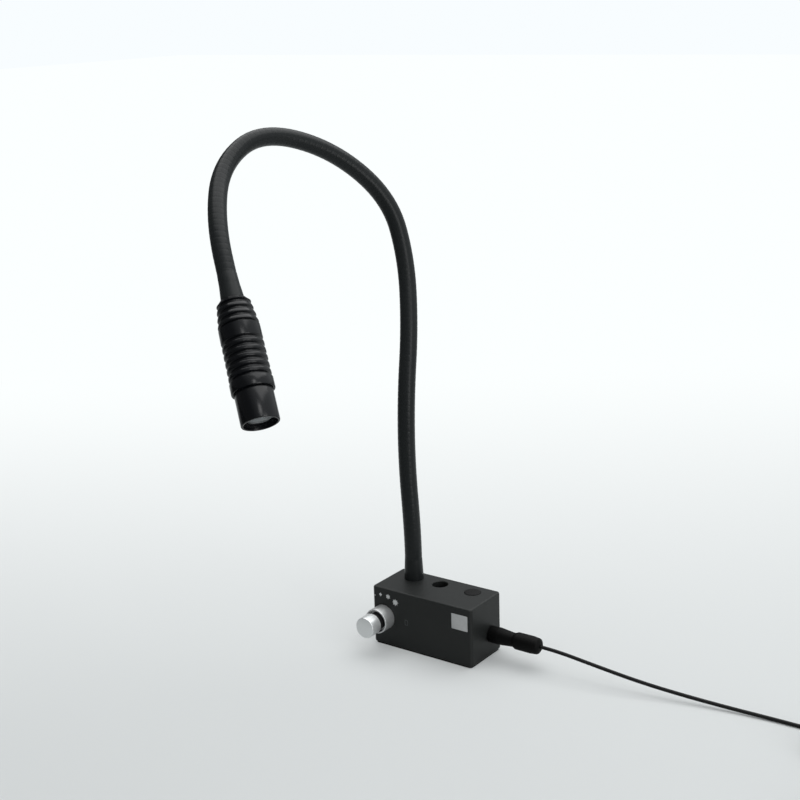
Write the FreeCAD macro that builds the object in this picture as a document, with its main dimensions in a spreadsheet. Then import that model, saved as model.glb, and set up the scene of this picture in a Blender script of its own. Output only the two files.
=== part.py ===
import FreeCAD, Part
import math
import os
import Sketcher

# Fiber optic illuminator: a small weighted control box with a brightness knob, a bendable neck that
# carries a light guide, and a ribbed head with a sliding lens barrel.
# Millimetres, +Z up. The origin is the middle of the box's footprint, on the surface it stands on.
# The knob faces -Y and the power lead leaves towards +X.

Vector = FreeCAD.Vector
doc = FreeCAD.newDocument("illuminator")

SIZES = {
    # Control box
    "box_width": 65.0,
    "box_depth": 30.0,
    "box_height": 34.0,
    "corner_radius": 2.0,
    "edge_radius": 1.0,
    "side_wall": 2.5,
    "top_wall": 3.0,
    "pad_thickness": 0.8,
    "pad_inset": 0.6,
    "plate_thickness": 6.0,
    "fit_gap": 0.15,
    "post_width": 4.6,
    "post_height": 4.2,
    "screw_diameter": 2.5,
    "screw_head_diameter": 4.4,
    "screw_head_height": 1.9,
    "screw_length": 8.5,
    "screw_key_width": 1.5,
    "screw_gap": 0.1,
    # Ballast and electronics inside the box
    "ballast_block_gap": 3.2,
    "ballast_jack_gap": 2.0,
    "ballast_port_gap": 2.2,
    "ballast_board_gap": 5.45,
    "board_width": 31.0,
    "board_height": 20.0,
    "board_thickness": 1.6,
    "board_dimmer_gap": 6.1,
    "board_lift": 0.5,
    "boss_diameter": 4.0,
    "boss_length": 2.2,
    "boss_margin": 3.5,
    "coil_diameter": 7.0,
    "coil_height": 3.2,
    "capacitor_diameter": 5.0,
    "capacitor_height": 6.0,
    "chip_width": 5.0,
    "chip_depth": 4.0,
    "chip_height": 1.2,
    "component_spacing": 9.5,
    # Ports on the top face
    "port_diameter": 8.8,
    "port_wall_gap": 0.5,
    "port_post_gap": 0.6,
    "spare_port_spacing": 17.5,
    "capped_port_inset": 12.5,
    "port_tube_wall": 1.4,
    "port_floor": 1.5,
    "block_width": 11.6,
    "block_depth": 12.4,
    "cap_diameter": 9.2,
    "cap_rise": 0.7,
    "cap_lip": 0.35,
    "cap_lip_height": 1.2,
    "cap_wall": 1.2,
    # Light source under the neck
    "spreader_thickness": 2.0,
    "lamp_board_thickness": 1.2,
    "emitter_width": 3.4,
    "emitter_height": 0.7,
    "emitter_dome_radius": 1.3,
    "lamp_lens_diameter": 7.0,
    "lamp_lens_edge": 1.2,
    "lamp_lens_rise": 2.0,
    "lamp_lens_lift": 4.0,
    "lamp_lens_port_gap": 1.3,
    "lamp_bore_diameter": 5.6,
    "lens_gap": 0.1,
    "port_screw_diameter": 3.0,
    "port_screw_lift": 9.5,
    # Dimmer and its knob
    "dimmer_gap": 0.3,
    "dimmer_post_gap": 0.5,
    "dimmer_width": 9.6,
    "dimmer_height": 11.4,
    "dimmer_depth": 6.8,
    "bush_diameter": 7.0,
    "bush_reach": 5.2,
    "shaft_diameter": 4.0,
    "shaft_reach": 14.5,
    "shaft_gap": 0.05,
    "collar_diameter": 14.0,
    "collar_length": 8.1,
    "collar_cup_diameter": 12.2,
    "collar_cup_depth": 3.5,
    "collar_chamfer": 0.5,
    "hub_diameter": 9.8,
    "hub_gap": 0.5,
    "knob_diameter": 11.6,
    "knob_length": 7.4,
    "knob_reach": 18.3,
    "knob_face": 1.9,
    "knob_edge": 0.5,
    # Power jack, plug and lead
    "jack_post_gap": 0.1,
    "jack_lift": 2.0,
    "jack_width": 7.0,
    "jack_height": 9.0,
    "jack_length": 11.0,
    "jack_nose_diameter": 8.0,
    "jack_bore_diameter": 5.7,
    "jack_bore_depth": 10.0,
    "jack_pin_diameter": 2.0,
    "plug_barrel_diameter": 5.5,
    "plug_barrel_bore": 2.5,
    "plug_barrel_length": 9.5,
    "plug_face_gap": 0.3,
    "plug_diameter": 9.2,
    "plug_shell_length": 14.0,
    "plug_waist_diameter": 7.0,
    "plug_grip_diameter": 9.1,
    "plug_grip_length": 17.0,
    "plug_tail_diameter": 5.0,
    "cord_diameter": 2.0,
    "lead_exit_run": 10.2,
    "coil_pitch": 2.62,
    "coil_outer_radius": 16.6,
    "coil_turn_room": 0.3,
    "connector_width": 15.6,
    "connector_height": 7.0,
    "connector_length": 19.0,
    "contact_width": 12.0,
    "contact_height": 4.5,
    "contact_length": 12.0,
    "contact_wall": 0.4,
    "tongue_height": 1.8,
    "tongue_recess": 0.6,
    # Bendable neck
    "guide_diameter": 4.6,
    "core_bore": 5.0,
    "core_diameter": 7.8,
    "sleeve_bore": 8.1,
    "sleeve_diameter": 9.3,
    "stem_gap": 0.05,
    "stem_end_gap": 0.3,
    "cup_height": 8.0,
    "cup_floor": 1.0,
    "boot_wall": 0.45,
    "boot_gap": 0.05,
    "base_boot_length": 11.0,
    "head_boot_length": 13.0,
    "head_boot_diameter": 11.6,
    # Head, measured along its own axis from the end of the neck
    "nose_start": 2.0,
    "nose_diameter": 14.0,
    "shoulder_diameter": 17.0,
    "shoulder_length": 2.2,
    "taper_length": 12.4,
    "grip_diameter": 20.0,
    "grip_end_diameter": 20.6,
    "grip_length": 28.4,
    "ring_diameter": 21.2,
    "ring_length": 5.4,
    "ring_chamfer": 0.4,
    "rib_pitch": 3.8,
    "groove_depth": 0.9,
    "groove_floor": 0.7,
    "groove_mouth": 1.9,
    "taper_groove_start": 5.4,
    "grip_groove_start": 25.2,
    "core_seat": 10.5,
    "guide_reach": 16.0,
    "bore_gap": 0.05,
    "barrel_bore": 14.4,
    "barrel_tail_diameter": 16.54,
    "barrel_tail_length": 13.0,
    "barrel_diameter": 18.5,
    "barrel_length": 16.2,
    "barrel_chamfer": 0.4,
    "barrel_lip": 0.4,
    "slide_gap": 0.08,
    "front_gap": 0.1,
    "counterbore_depth": 5.2,
    "lens_diameter": 16.4,
    "lens_edge": 1.4,
    "lens_rise": 1.2,
    "lens_flat": 0.9,
    "lens_seat_depth": 4.8,
    "retainer_height": 1.0,
    "retainer_width": 0.7,
}
TAPER_GROOVES = 4
GRIP_GROOVES = 6

# The neck's centre line, as steps away from the middle of its port on the box's top face.
NECK_ROUTE = (
    (0.0, 0.0, 0.0),
    (0.0, 0.0, 28.5),
    (-5.0, 3.3, 66.5),
    (-7.0, 7.3, 103.0),
    (-11.0, 18.3, 138.5),
    (-20.0, 29.8, 174.0),
    (-30.0, 29.3, 207.5),
    (-48.5, 3.8, 236.0),
    (-66.5, -32.2, 248.5),
    (-68.0, -62.7, 234.0),
    (-49.0, -89.7, 209.5),
    (-28.5, -103.2, 177.0),
)
# The corners of that route at which the neck bends in use, and the names of the lengths between.
BEND_CORNERS = (1, 4, 7, 10)
LENGTH_NAMES = ("base", "lower", "upper", "arch", "head")

# The lead's route from the plug to the start of the coil.
LEAD_ROUTE = (
    (92.0, 4.6, 11.2),
    (122.0, 8.0, 6.2),
    (156.0, 13.5, 2.3),
    (193.0, 17.0, 1.0),
    (230.0, 17.0, 1.0),
)
# The coil's layers, and the half turns in each: the last of them climbs to the next layer.
COIL_LAYERS = 4
COIL_LAYER_HALF_TURNS = 8
# The tail's steps away from the end of the coil, down to the connector that ends the lead.
TAIL_ROUTE = (
    (0.3, -13.0, 0.0),
    (0.6, -24.0, -3.3),
    (0.6, -33.0, -5.36),
    (0.6, -43.0, -5.36),
)
CORNER_SHARE = 0.45
COIL_SIDE_COUNT = 8


class Size:
    """A length that knows its formula on the sheet and its present value."""

    def __init__(self, text, value):
        self.text = text
        self.value = float(value)

    def _join(self, sign, other, value, swap=False):
        other_text = other.text if isinstance(other, Size) else repr(float(other))
        pair = (other_text, self.text) if swap else (self.text, other_text)
        return Size(f"({pair[0]} {sign} {pair[1]})", value)

    def __add__(self, other):
        return self._join("+", other, self.value + number(other))

    def __sub__(self, other):
        return self._join("-", other, self.value - number(other))

    def __mul__(self, other):
        return self._join("*", other, self.value * number(other))

    def __truediv__(self, other):
        return self._join("/", other, self.value / number(other))

    def __radd__(self, other):
        return self._join("+", other, number(other) + self.value, swap=True)

    def __rsub__(self, other):
        return self._join("-", other, number(other) - self.value, swap=True)

    def __rmul__(self, other):
        return self._join("*", other, number(other) * self.value, swap=True)

    def __neg__(self):
        return Size(f"(0 - {self.text})", -self.value)


def number(size):
    """The plain value of a size or a number."""
    return size.value if isinstance(size, Size) else float(size)


def formula(size):
    """The text of a size or a number for an expression."""
    return size.text if isinstance(size, Size) else repr(float(size))


def make_sheet():
    """Writes the driving dimensions on a sheet and returns them as sizes, by name."""
    sheet = doc.addObject("Spreadsheet::Sheet", "Sizes")
    for row, (name, value) in enumerate(SIZES.items(), start=1):
        sheet.set(f"A{row}", name)
        sheet.set(f"B{row}", str(value))
        sheet.setAlias(f"B{row}", name)
    doc.recompute()
    return {name: Size(f"Sizes.{name}", getattr(sheet, name)) for name in SIZES}


class Named:
    """Reads sizes as attributes, such as z.box_width."""

    def __init__(self, sizes):
        self.__dict__.update(sizes)


z = Named(make_sheet())

# Places that several pieces share
half_width = z.box_width / 2
half_depth = z.box_depth / 2
inner_half_width = half_width - z.side_wall
inner_half_depth = half_depth - z.side_wall
plate_top = z.pad_thickness + z.plate_thickness
ceiling = z.box_height - z.top_wall
screw_x = inner_half_width - z.post_width / 2
screw_y = inner_half_depth - z.post_width / 2
post_top = plate_top + z.post_height
post_x = inner_half_width - z.post_width
post_y = inner_half_depth - z.post_width
lamp_board_bottom = plate_top + z.spreader_thickness
block_bottom = lamp_board_bottom + z.lamp_board_thickness
lamp_lens_bottom = block_bottom + z.lamp_lens_lift
port_bottom = lamp_lens_bottom + z.lamp_lens_edge + z.lamp_lens_rise + z.lamp_lens_port_gap
port_depth = z.box_height - port_bottom
port_radius = z.port_diameter / 2
port_tube_radius = port_radius + z.port_tube_wall
port_row_y = inner_half_depth - z.port_wall_gap - port_tube_radius
neck_port_x = -(post_x - z.port_post_gap - z.block_width / 2)
spare_port_x = neck_port_x + z.spare_port_spacing
capped_port_x = half_width - z.capped_port_inset
dimmer_x = -(inner_half_width - z.dimmer_gap - z.dimmer_width / 2)
dimmer_z = post_top + z.dimmer_post_gap + z.dimmer_height / 2
jack_y = post_y - z.jack_post_gap - z.jack_width / 2
jack_z = plate_top + z.jack_lift + z.jack_height / 2
boss_y = -(inner_half_depth - z.boss_length)
board_back_y = boss_y + z.board_thickness
board_bottom = plate_top + z.board_lift
board_x = dimmer_x + z.dimmer_width / 2 + z.board_dimmer_gap + z.board_width / 2
grip_start = z.nose_start + z.shoulder_length + z.taper_length
ring_start = grip_start + z.grip_length
ring_end = ring_start + z.ring_length
barrel_shoulder = ring_end - z.barrel_lip
barrel_end = barrel_shoulder + z.barrel_length
lens_seat = barrel_end - z.lens_seat_depth

TO_FRONT = FreeCAD.Rotation(Vector(1, 0, 0), 90)
TO_RIGHT = FreeCAD.Rotation(Vector(0, 1, 0), 90)
UPRIGHT = FreeCAD.Rotation()


def place(obj, x, y, height, turn=UPRIGHT):
    """Turns an object, and ties its position to the sheet."""
    obj.Placement = FreeCAD.Placement(Vector(number(x), number(y), number(height)), turn)
    for axis, size in (("x", x), ("y", y), ("z", height)):
        obj.setExpression(f".Placement.Base.{axis}", formula(size))
    return obj


def tie(obj, **sizes):
    """Ties properties of an object to the sheet."""
    for name, size in sizes.items():
        setattr(obj, name, number(size))
        obj.setExpression(name, formula(size))
    return obj


def block(size, centre_x, centre_y, bottom):
    """A Part box, centred in plan and standing on its bottom height."""
    length, width, height = size
    obj = tie(doc.addObject("Part::Box", "Block"), Length=length, Width=width, Height=height)
    return place(obj, centre_x - length / 2, centre_y - width / 2, bottom)


def rod(diameter, length, x, y, height, turn=UPRIGHT):
    """A Part cylinder that starts at a point and runs along Z, or along the turned Z."""
    obj = tie(doc.addObject("Part::Cylinder", "Rod"), Radius=diameter / 2, Height=length)
    return place(obj, x, y, height, turn)


def join(label, shapes):
    """Fuses shapes into one labelled piece."""
    obj = doc.addObject("Part::MultiFuse", label)
    obj.Shapes = shapes
    obj.Label = label
    return obj


def carve(label, base, tools):
    """Cuts one tool, or several fused ones, out of a base and labels the result."""
    obj = doc.addObject("Part::Cut", label)
    obj.Base = base
    obj.Tool = tools[0] if len(tools) == 1 else join(f"{label}_tools", tools)
    obj.Label = label
    return obj


def new_body(label):
    """A PartDesign body with a label of its own."""
    body = doc.addObject("PartDesign::Body", label)
    body.Label = label
    return body


def sketch_on(body, plane, offset=0.0):
    """A sketch on one of the body's own planes, moved along that plane's normal."""
    sketch = body.newObject("Sketcher::SketchObject", f"{body.Label}_sketch")
    origin_plane = [f for f in body.Origin.OriginFeatures if f.Role == plane][0]
    sketch.AttachmentSupport = [(origin_plane, "")]
    sketch.MapMode = "FlatFace"
    sketch.AttachmentOffset = FreeCAD.Placement(Vector(0, 0, number(offset)), UPRIGHT)
    sketch.setExpression(".AttachmentOffset.Base.z", formula(offset))
    return sketch


def fix(sketch, kind, geometry, point, size):
    """Holds one coordinate of a sketch point at a size from the sketch's origin."""
    index = sketch.addConstraint(Sketcher.Constraint(kind, -1, 1, geometry, point, number(size)))
    sketch.setExpression(f"Constraints[{index}]", formula(size))


def draw_outline(sketch, points):
    """A closed outline of (x, y) corners. A third entry is the radius of the arc that arrives there,
    bulging to the right of its way along the outline."""
    pairs = [(number(p[0]), number(p[1])) for p in points]
    starts = []
    for i, (x1, y1) in enumerate(pairs):
        j = (i + 1) % len(pairs)
        x2, y2 = pairs[j]
        if len(points[j]) == 3:
            radius = number(points[j][2])
            chord = math.hypot(x2 - x1, y2 - y1)
            lift = math.sqrt(radius**2 - chord**2 / 4)
            middle = Vector((x1 + x2) / 2, (y1 + y2) / 2, 0)
            inward = Vector(-(y2 - y1) / chord, (x2 - x1) / chord, 0)
            centre = middle + inward * lift
            first = math.atan2(y1 - centre.y, x1 - centre.x)
            last = math.atan2(y2 - centre.y, x2 - centre.x)
            circle = Part.Circle(centre, Vector(0, 0, 1), radius)
            geometry = sketch.addGeometry(Part.ArcOfCircle(circle, first, last), False)
            index = sketch.addConstraint(Sketcher.Constraint("Radius", geometry, radius))
            sketch.setExpression(f"Constraints[{index}]", formula(points[j][2]))
        else:
            line = Part.LineSegment(Vector(x1, y1, 0), Vector(x2, y2, 0))
            geometry = sketch.addGeometry(line, False)
        starts.append(geometry)
    for i, geometry in enumerate(starts):
        following = starts[(i + 1) % len(starts)]
        sketch.addConstraint(Sketcher.Constraint("Coincident", geometry, 2, following, 1))
        fix(sketch, "DistanceX", geometry, 1, points[i][0])
        fix(sketch, "DistanceY", geometry, 1, points[i][1])


def draw_rectangle(sketch, centre_x, centre_y, width, height):
    """A rectangle about a centre."""
    left, right = centre_x - width / 2, centre_x + width / 2
    low, high = centre_y - height / 2, centre_y + height / 2
    draw_outline(sketch, [(left, low), (right, low), (right, high), (left, high)])


def draw_circle(sketch, centre_x, centre_y, diameter):
    """A circle about a centre."""
    middle = Vector(number(centre_x), number(centre_y), 0)
    circle = Part.Circle(middle, Vector(0, 0, 1), number(diameter) / 2)
    geometry = sketch.addGeometry(circle, False)
    fix(sketch, "DistanceX", geometry, 3, centre_x)
    fix(sketch, "DistanceY", geometry, 3, centre_y)
    index = sketch.addConstraint(Sketcher.Constraint("Diameter", geometry, number(diameter)))
    sketch.setExpression(f"Constraints[{index}]", formula(diameter))


def extrude(body, sketch, length, kind="Pad", backwards=False):
    """A Pad or Pocket of a sketch. A pad follows the plane's normal and a pocket goes against it."""
    feature = body.newObject(f"PartDesign::{kind}", f"{body.Label}_{kind.lower()}")
    feature.Profile = sketch
    tie(feature, Length=length)
    feature.Reversed = backwards
    sketch.Visibility = False
    return feature


def turn_profile(body, points, kind="Revolution"):
    """Turns an outline of (radius, height) corners about the body's Z axis, to add or to cut."""
    sketch = sketch_on(body, "XZ_Plane")
    draw_outline(sketch, points)
    feature = body.newObject(f"PartDesign::{kind}", f"{body.Label}_{kind.lower()}")
    feature.Profile = sketch
    feature.ReferenceAxis = (sketch, ["V_Axis"])
    feature.Angle = 360
    return feature


def turned(label, points):
    """A body that is one turned outline."""
    body = new_body(label)
    turn_profile(body, points)
    return body


def round_edges(body, radius, wanted):
    """Fillets the edges of the body's tip that pass a test."""
    doc.recompute()
    base = body.Tip
    names = [f"Edge{i}" for i, e in enumerate(base.Shape.Edges, start=1) if wanted(e)]
    fillet = body.newObject("PartDesign::Fillet", f"{body.Label}_fillet")
    fillet.Base = (base, names)
    tie(fillet, Radius=radius)
    return fillet


def upright(edge):
    """True for an edge that runs along Z."""
    return edge.BoundBox.ZLength > 1.0


def at_height(height):
    """A test for edges that lie level at a height."""
    return lambda edge: abs(edge.BoundBox.ZMin - height) < 1e-6 and edge.BoundBox.ZLength < 1e-6


def four_corners():
    """The places of the four base screws in plan."""
    return [(x, y) for x in (-screw_x, screw_x) for y in (-screw_y, screw_y)]


def make_housing():
    """The painted metal shell: a rounded block, hollow from below, with its wall holes."""
    body = new_body("housing")
    outline = sketch_on(body, "XY_Plane", z.pad_thickness)
    draw_rectangle(outline, 0.0, 0.0, z.box_width, z.box_depth)
    extrude(body, outline, z.box_height - z.pad_thickness)
    round_edges(body, z.corner_radius, upright)
    round_edges(body, z.edge_radius, at_height(SIZES["box_height"]))
    round_edges(body, z.edge_radius, at_height(SIZES["pad_thickness"]))
    hollow = sketch_on(body, "XY_Plane", z.pad_thickness)
    draw_rectangle(hollow, 0.0, 0.0, inner_half_width * 2, inner_half_depth * 2)
    extrude(body, hollow, ceiling - z.pad_thickness, "Pocket", backwards=True)
    posts = sketch_on(body, "XY_Plane", plate_top)
    for x, y in four_corners():
        draw_rectangle(posts, x, y, z.post_width, z.post_width)
    extrude(body, posts, z.post_height)
    bosses = sketch_on(body, "XZ_Plane", -boss_y)
    for side in (-1, 1):
        boss_x = board_x + (z.board_width / 2 - z.boss_margin) * side
        draw_circle(bosses, boss_x, board_bottom + z.board_height / 2, z.boss_diameter)
    extrude(body, bosses, z.boss_length)
    threads = sketch_on(body, "XY_Plane", plate_top)
    for x, y in four_corners():
        draw_circle(threads, x, y, z.screw_diameter)
    extrude(body, threads, z.post_height, "Pocket", backwards=True)
    ports = sketch_on(body, "XY_Plane", z.box_height)
    for x in (neck_port_x, spare_port_x, capped_port_x):
        draw_circle(ports, x, port_row_y, z.port_diameter)
    extrude(body, ports, z.top_wall, "Pocket")
    knob_hole = sketch_on(body, "XZ_Plane", half_depth)
    draw_circle(knob_hole, dimmer_x, dimmer_z, z.bush_diameter + z.fit_gap)
    extrude(body, knob_hole, z.side_wall, "Pocket")
    jack_hole = sketch_on(body, "YZ_Plane", half_width)
    draw_circle(jack_hole, jack_y, jack_z, z.jack_nose_diameter + z.fit_gap)
    extrude(body, jack_hole, z.side_wall, "Pocket")
    return body


def make_base_plate():
    """The thick steel plate that closes and weights the box, with sunk holes for its screws."""
    body = new_body("base_plate")
    outline = sketch_on(body, "XY_Plane", z.pad_thickness)
    width = (inner_half_width - z.fit_gap) * 2
    depth = (inner_half_depth - z.fit_gap) * 2
    draw_rectangle(outline, 0.0, 0.0, width, depth)
    extrude(body, outline, z.plate_thickness)
    holes = sketch_on(body, "XY_Plane", plate_top)
    heads = sketch_on(body, "XY_Plane", z.pad_thickness)
    for x, y in four_corners():
        draw_circle(holes, x, y, z.screw_diameter + z.screw_gap * 2)
        draw_circle(heads, x, y, z.screw_head_diameter + z.screw_gap * 2)
    extrude(body, holes, z.plate_thickness, "Pocket")
    extrude(body, heads, z.screw_head_height + z.screw_gap, "Pocket", backwards=True)
    return body


def make_foot_pad():
    """The thin rubber sheet under the box, with holes to reach the screws."""
    body = new_body("foot_pad")
    outline = sketch_on(body, "XY_Plane")
    draw_rectangle(outline, 0.0, 0.0, z.box_width - z.pad_inset * 2, z.box_depth - z.pad_inset * 2)
    extrude(body, outline, z.pad_thickness)
    holes = sketch_on(body, "XY_Plane", z.pad_thickness)
    for x, y in four_corners():
        draw_circle(holes, x, y, z.screw_head_diameter + z.screw_gap * 2)
    extrude(body, holes, z.pad_thickness, "Pocket")
    return body


def make_base_screws():
    """Four socket screws that hold the base plate up against the posts."""
    screws = []
    head_bottom = z.pad_thickness + z.screw_gap
    for x, y in four_corners():
        head = rod(z.screw_head_diameter, z.screw_head_height, x, y, head_bottom)
        shank = rod(z.screw_diameter, z.screw_length, x, y, head_bottom)
        key = rod(z.screw_key_width, z.screw_head_height / 2, x, y, head_bottom)
        screws.append(carve("base_screw", join("base_screw_blank", [head, shank]), [key]))
    group = doc.addObject("Part::Compound", "base_screws")
    group.Links = screws
    group.Label = "base_screws"
    return group


def make_ballast():
    """The steel block that lies on the base plate, behind the circuit board."""
    left = neck_port_x + z.block_width / 2 + z.ballast_block_gap
    right = inner_half_width - z.jack_length - z.ballast_jack_gap
    front = board_back_y + z.ballast_board_gap
    back = inner_half_depth - z.fit_gap
    top = port_bottom - z.port_floor - z.ballast_port_gap
    size = (right - left, back - front, top - plate_top)
    obj = block(size, (left + right) / 2, (front + back) / 2, plate_top)
    obj.Label = "ballast_block"
    return obj


def make_circuit_board():
    """The driver board, upright against the bosses of the front wall."""
    size = (z.board_width, z.board_thickness, z.board_height)
    obj = block(size, board_x, boss_y + z.board_thickness / 2, board_bottom)
    obj.Label = "circuit_board"
    return obj


def make_board_components():
    """Choke, capacitor and driver chip on the back of the board."""
    middle = board_bottom + z.board_height * 0.6
    away = FreeCAD.Rotation(Vector(1, 0, 0), -90)
    left = board_x - z.component_spacing
    right = board_x + z.component_spacing
    choke = rod(z.coil_diameter, z.coil_height, left, board_back_y, middle, away)
    capacitor = rod(z.capacitor_diameter, z.capacitor_height, board_x, board_back_y, middle, away)
    size = (z.chip_width, z.chip_height, z.chip_depth)
    chip = block(size, right, board_back_y + z.chip_height / 2, middle - z.chip_depth / 2)
    group = doc.addObject("Part::Compound", "board_components")
    group.Links = [choke, capacitor, chip]
    group.Label = "board_components"
    return group


def make_port_block():
    """The aluminium block under the neck's port: it holds the stem, the lamp and its lens."""
    height = ceiling - block_bottom
    size = (z.block_width, z.block_depth, height)
    centre_y = inner_half_depth - z.fit_gap - z.block_depth / 2
    base = block(size, neck_port_x, centre_y, block_bottom)
    cuts = [
        rod(z.port_diameter, ceiling - port_bottom, neck_port_x, port_row_y, port_bottom),
        rod(
            z.lamp_lens_diameter + z.lens_gap * 2,
            port_bottom - lamp_lens_bottom,
            neck_port_x,
            port_row_y,
            lamp_lens_bottom,
        ),
        rod(z.lamp_bore_diameter, z.lamp_lens_lift, neck_port_x, port_row_y, block_bottom),
        rod(
            z.port_screw_diameter,
            z.block_width / 2,
            neck_port_x,
            port_row_y,
            ceiling - z.port_screw_lift,
            TO_RIGHT,
        ),
    ]
    return carve("port_block", base, cuts)


def make_port_screw():
    """The grub screw that clamps the neck's stem in its port."""
    start = neck_port_x + port_radius
    length = z.block_width / 2 - port_radius
    height = ceiling - z.port_screw_lift
    body = rod(z.port_screw_diameter, length, start, port_row_y, height, TO_RIGHT)
    key_start = start + length / 2
    key = rod(z.screw_key_width, length / 2, key_start, port_row_y, height, TO_RIGHT)
    return carve("port_screw", body, [key])


def make_lamp():
    """The lamp's board, emitter, heat spreader and collecting lens, under the neck's stem."""
    board_y = inner_half_depth - z.fit_gap - z.block_depth / 2
    board_size = (z.block_width, z.block_depth, z.lamp_board_thickness)
    board = block(board_size, neck_port_x, board_y, lamp_board_bottom)
    board.Label = "lamp_board"
    spreader_size = (z.block_width, z.block_depth, lamp_board_bottom - plate_top)
    spreader = block(spreader_size, neck_port_x, board_y, plate_top)
    spreader.Label = "heat_spreader"
    chip_size = (z.emitter_width, z.emitter_width, z.emitter_height)
    chip = block(chip_size, neck_port_x, port_row_y, block_bottom)
    dome = tie(doc.addObject("Part::Sphere", "Dome"), Radius=z.emitter_dome_radius)
    dome.Angle1 = 0
    place(dome, neck_port_x, port_row_y, block_bottom + z.emitter_height)
    emitter = join("lamp_emitter", [chip, dome])
    radius = z.lamp_lens_diameter / 2
    rise = z.lamp_lens_rise
    curve = (radius * radius + rise * rise) / (rise * 2)
    top = z.lamp_lens_edge + rise
    lens = turned("lamp_lens", [(0.0, 0.0), (radius, 0.0), (radius, z.lamp_lens_edge), (0.0, top, curve)])
    place(lens, neck_port_x, port_row_y, lamp_lens_bottom)
    return [board, spreader, emitter, lens]


def make_spare_port():
    """The blind tube under the open port, which takes a second neck's stem."""
    outer = port_tube_radius * 2
    length = ceiling - port_bottom + z.port_floor
    x, y = spare_port_x, port_row_y
    tube = rod(outer, length, x, y, port_bottom - z.port_floor)
    bore = rod(z.port_diameter, ceiling - port_bottom, x, y, port_bottom)
    return carve("spare_port_tube", tube, [bore])


def make_port_cap():
    """The rubber plug that blanks the third port: a low dome, a hollow stem and a holding lip."""
    head = z.cap_diameter / 2
    stem = port_radius - z.fit_gap
    lip = port_radius + z.cap_lip
    lip_top = -z.top_wall - z.fit_gap
    lip_bottom = lip_top - z.cap_lip_height
    inner = stem - z.cap_wall
    curve = (head * head + z.cap_rise * z.cap_rise) / (z.cap_rise * 2)
    cap = turned(
        "port_cap",
        [
            (0.0, -z.cap_wall),
            (inner, -z.cap_wall),
            (inner, lip_bottom),
            (stem, lip_bottom),
            (lip, lip_top),
            (stem, lip_top),
            (stem, 0.0),
            (head, 0.0),
            (0.0, z.cap_rise, curve),
        ],
    )
    return place(cap, capped_port_x, port_row_y, z.box_height)


def make_dimmer():
    """The dimmer's case with its threaded bush, and the shaft that turns in it."""
    inside = -z.side_wall
    case_size = (z.dimmer_width, z.dimmer_depth, z.dimmer_height)
    case_y = -inner_half_depth + z.dimmer_depth / 2
    case = block(case_size, dimmer_x, case_y, dimmer_z - z.dimmer_height / 2)
    bush_length = z.bush_reach + z.side_wall
    bush = rod(z.bush_diameter, bush_length, dimmer_x, -inner_half_depth, dimmer_z, TO_FRONT)
    bore_back = inside - z.dimmer_depth * 0.9
    bore = rod(
        z.shaft_diameter + z.shaft_gap * 2,
        z.bush_reach - bore_back,
        dimmer_x,
        -half_depth - bore_back,
        dimmer_z,
        TO_FRONT,
    )
    dimmer = carve("dimmer", join("dimmer_blank", [case, bush]), [bore])
    shaft_back = bore_back + z.shaft_gap
    shaft = rod(
        z.shaft_diameter,
        z.shaft_reach - shaft_back,
        dimmer_x,
        -half_depth - shaft_back,
        dimmer_z,
        TO_FRONT,
    )
    shaft.Label = "dimmer_shaft"
    return [dimmer, shaft]


def make_knob_parts():
    """The fixed collar on the bush, and the knob's plastic hub with its metal cap."""
    bush = z.bush_diameter / 2
    outer = z.collar_diameter / 2
    cup = z.collar_cup_diameter / 2
    cup_floor = z.collar_length - z.collar_cup_depth
    bevel = z.collar_chamfer
    collar = turned(
        "knob_collar",
        [
            (bush, 0.0),
            (outer, 0.0),
            (outer, z.collar_length - bevel),
            (outer - bevel, z.collar_length),
            (cup, z.collar_length),
            (cup, cup_floor),
            (bush, cup_floor),
        ],
    )
    shaft = z.shaft_diameter / 2
    hub_radius = z.hub_diameter / 2
    hub_top = z.knob_reach - z.knob_face
    hub = turned(
        "knob_hub",
        [
            (shaft, z.bush_reach + z.hub_gap),
            (hub_radius, z.bush_reach + z.hub_gap),
            (hub_radius, hub_top),
            (0.0, hub_top),
            (0.0, z.shaft_reach),
            (shaft, z.shaft_reach),
        ],
    )
    rim = z.knob_diameter / 2
    edge = z.knob_edge
    back = z.knob_reach - z.knob_length
    cap = turned(
        "knob_cap",
        [
            (hub_radius, back),
            (rim - edge / 2, back),
            (rim, back + edge / 2),
            (rim, z.knob_reach - edge),
            (rim - edge, z.knob_reach),
            (0.0, z.knob_reach),
            (0.0, hub_top),
            (hub_radius, hub_top),
        ],
    )
    for piece in (collar, hub, cap):
        place(piece, dimmer_x, -half_depth, dimmer_z, TO_FRONT)
    return [collar, hub, cap]


def make_power_jack():
    """The jack in the right wall: its case, its nose in the wall, its bore and its centre pin."""
    case_size = (z.jack_length, z.jack_width, z.jack_height)
    case_x = inner_half_width - z.jack_length / 2
    case = block(case_size, case_x, jack_y, jack_z - z.jack_height / 2)
    nose = rod(z.jack_nose_diameter, z.side_wall, inner_half_width, jack_y, jack_z, TO_RIGHT)
    bore_x = half_width - z.jack_bore_depth
    bore = rod(z.jack_bore_diameter, z.jack_bore_depth, bore_x, jack_y, jack_z, TO_RIGHT)
    shell = carve("jack_shell", join("jack_blank", [case, nose]), [bore])
    pin_length = z.jack_bore_depth - z.side_wall
    pin = rod(z.jack_pin_diameter, pin_length, bore_x, jack_y, jack_z, TO_RIGHT)
    return join("power_jack", [shell, pin])


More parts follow.
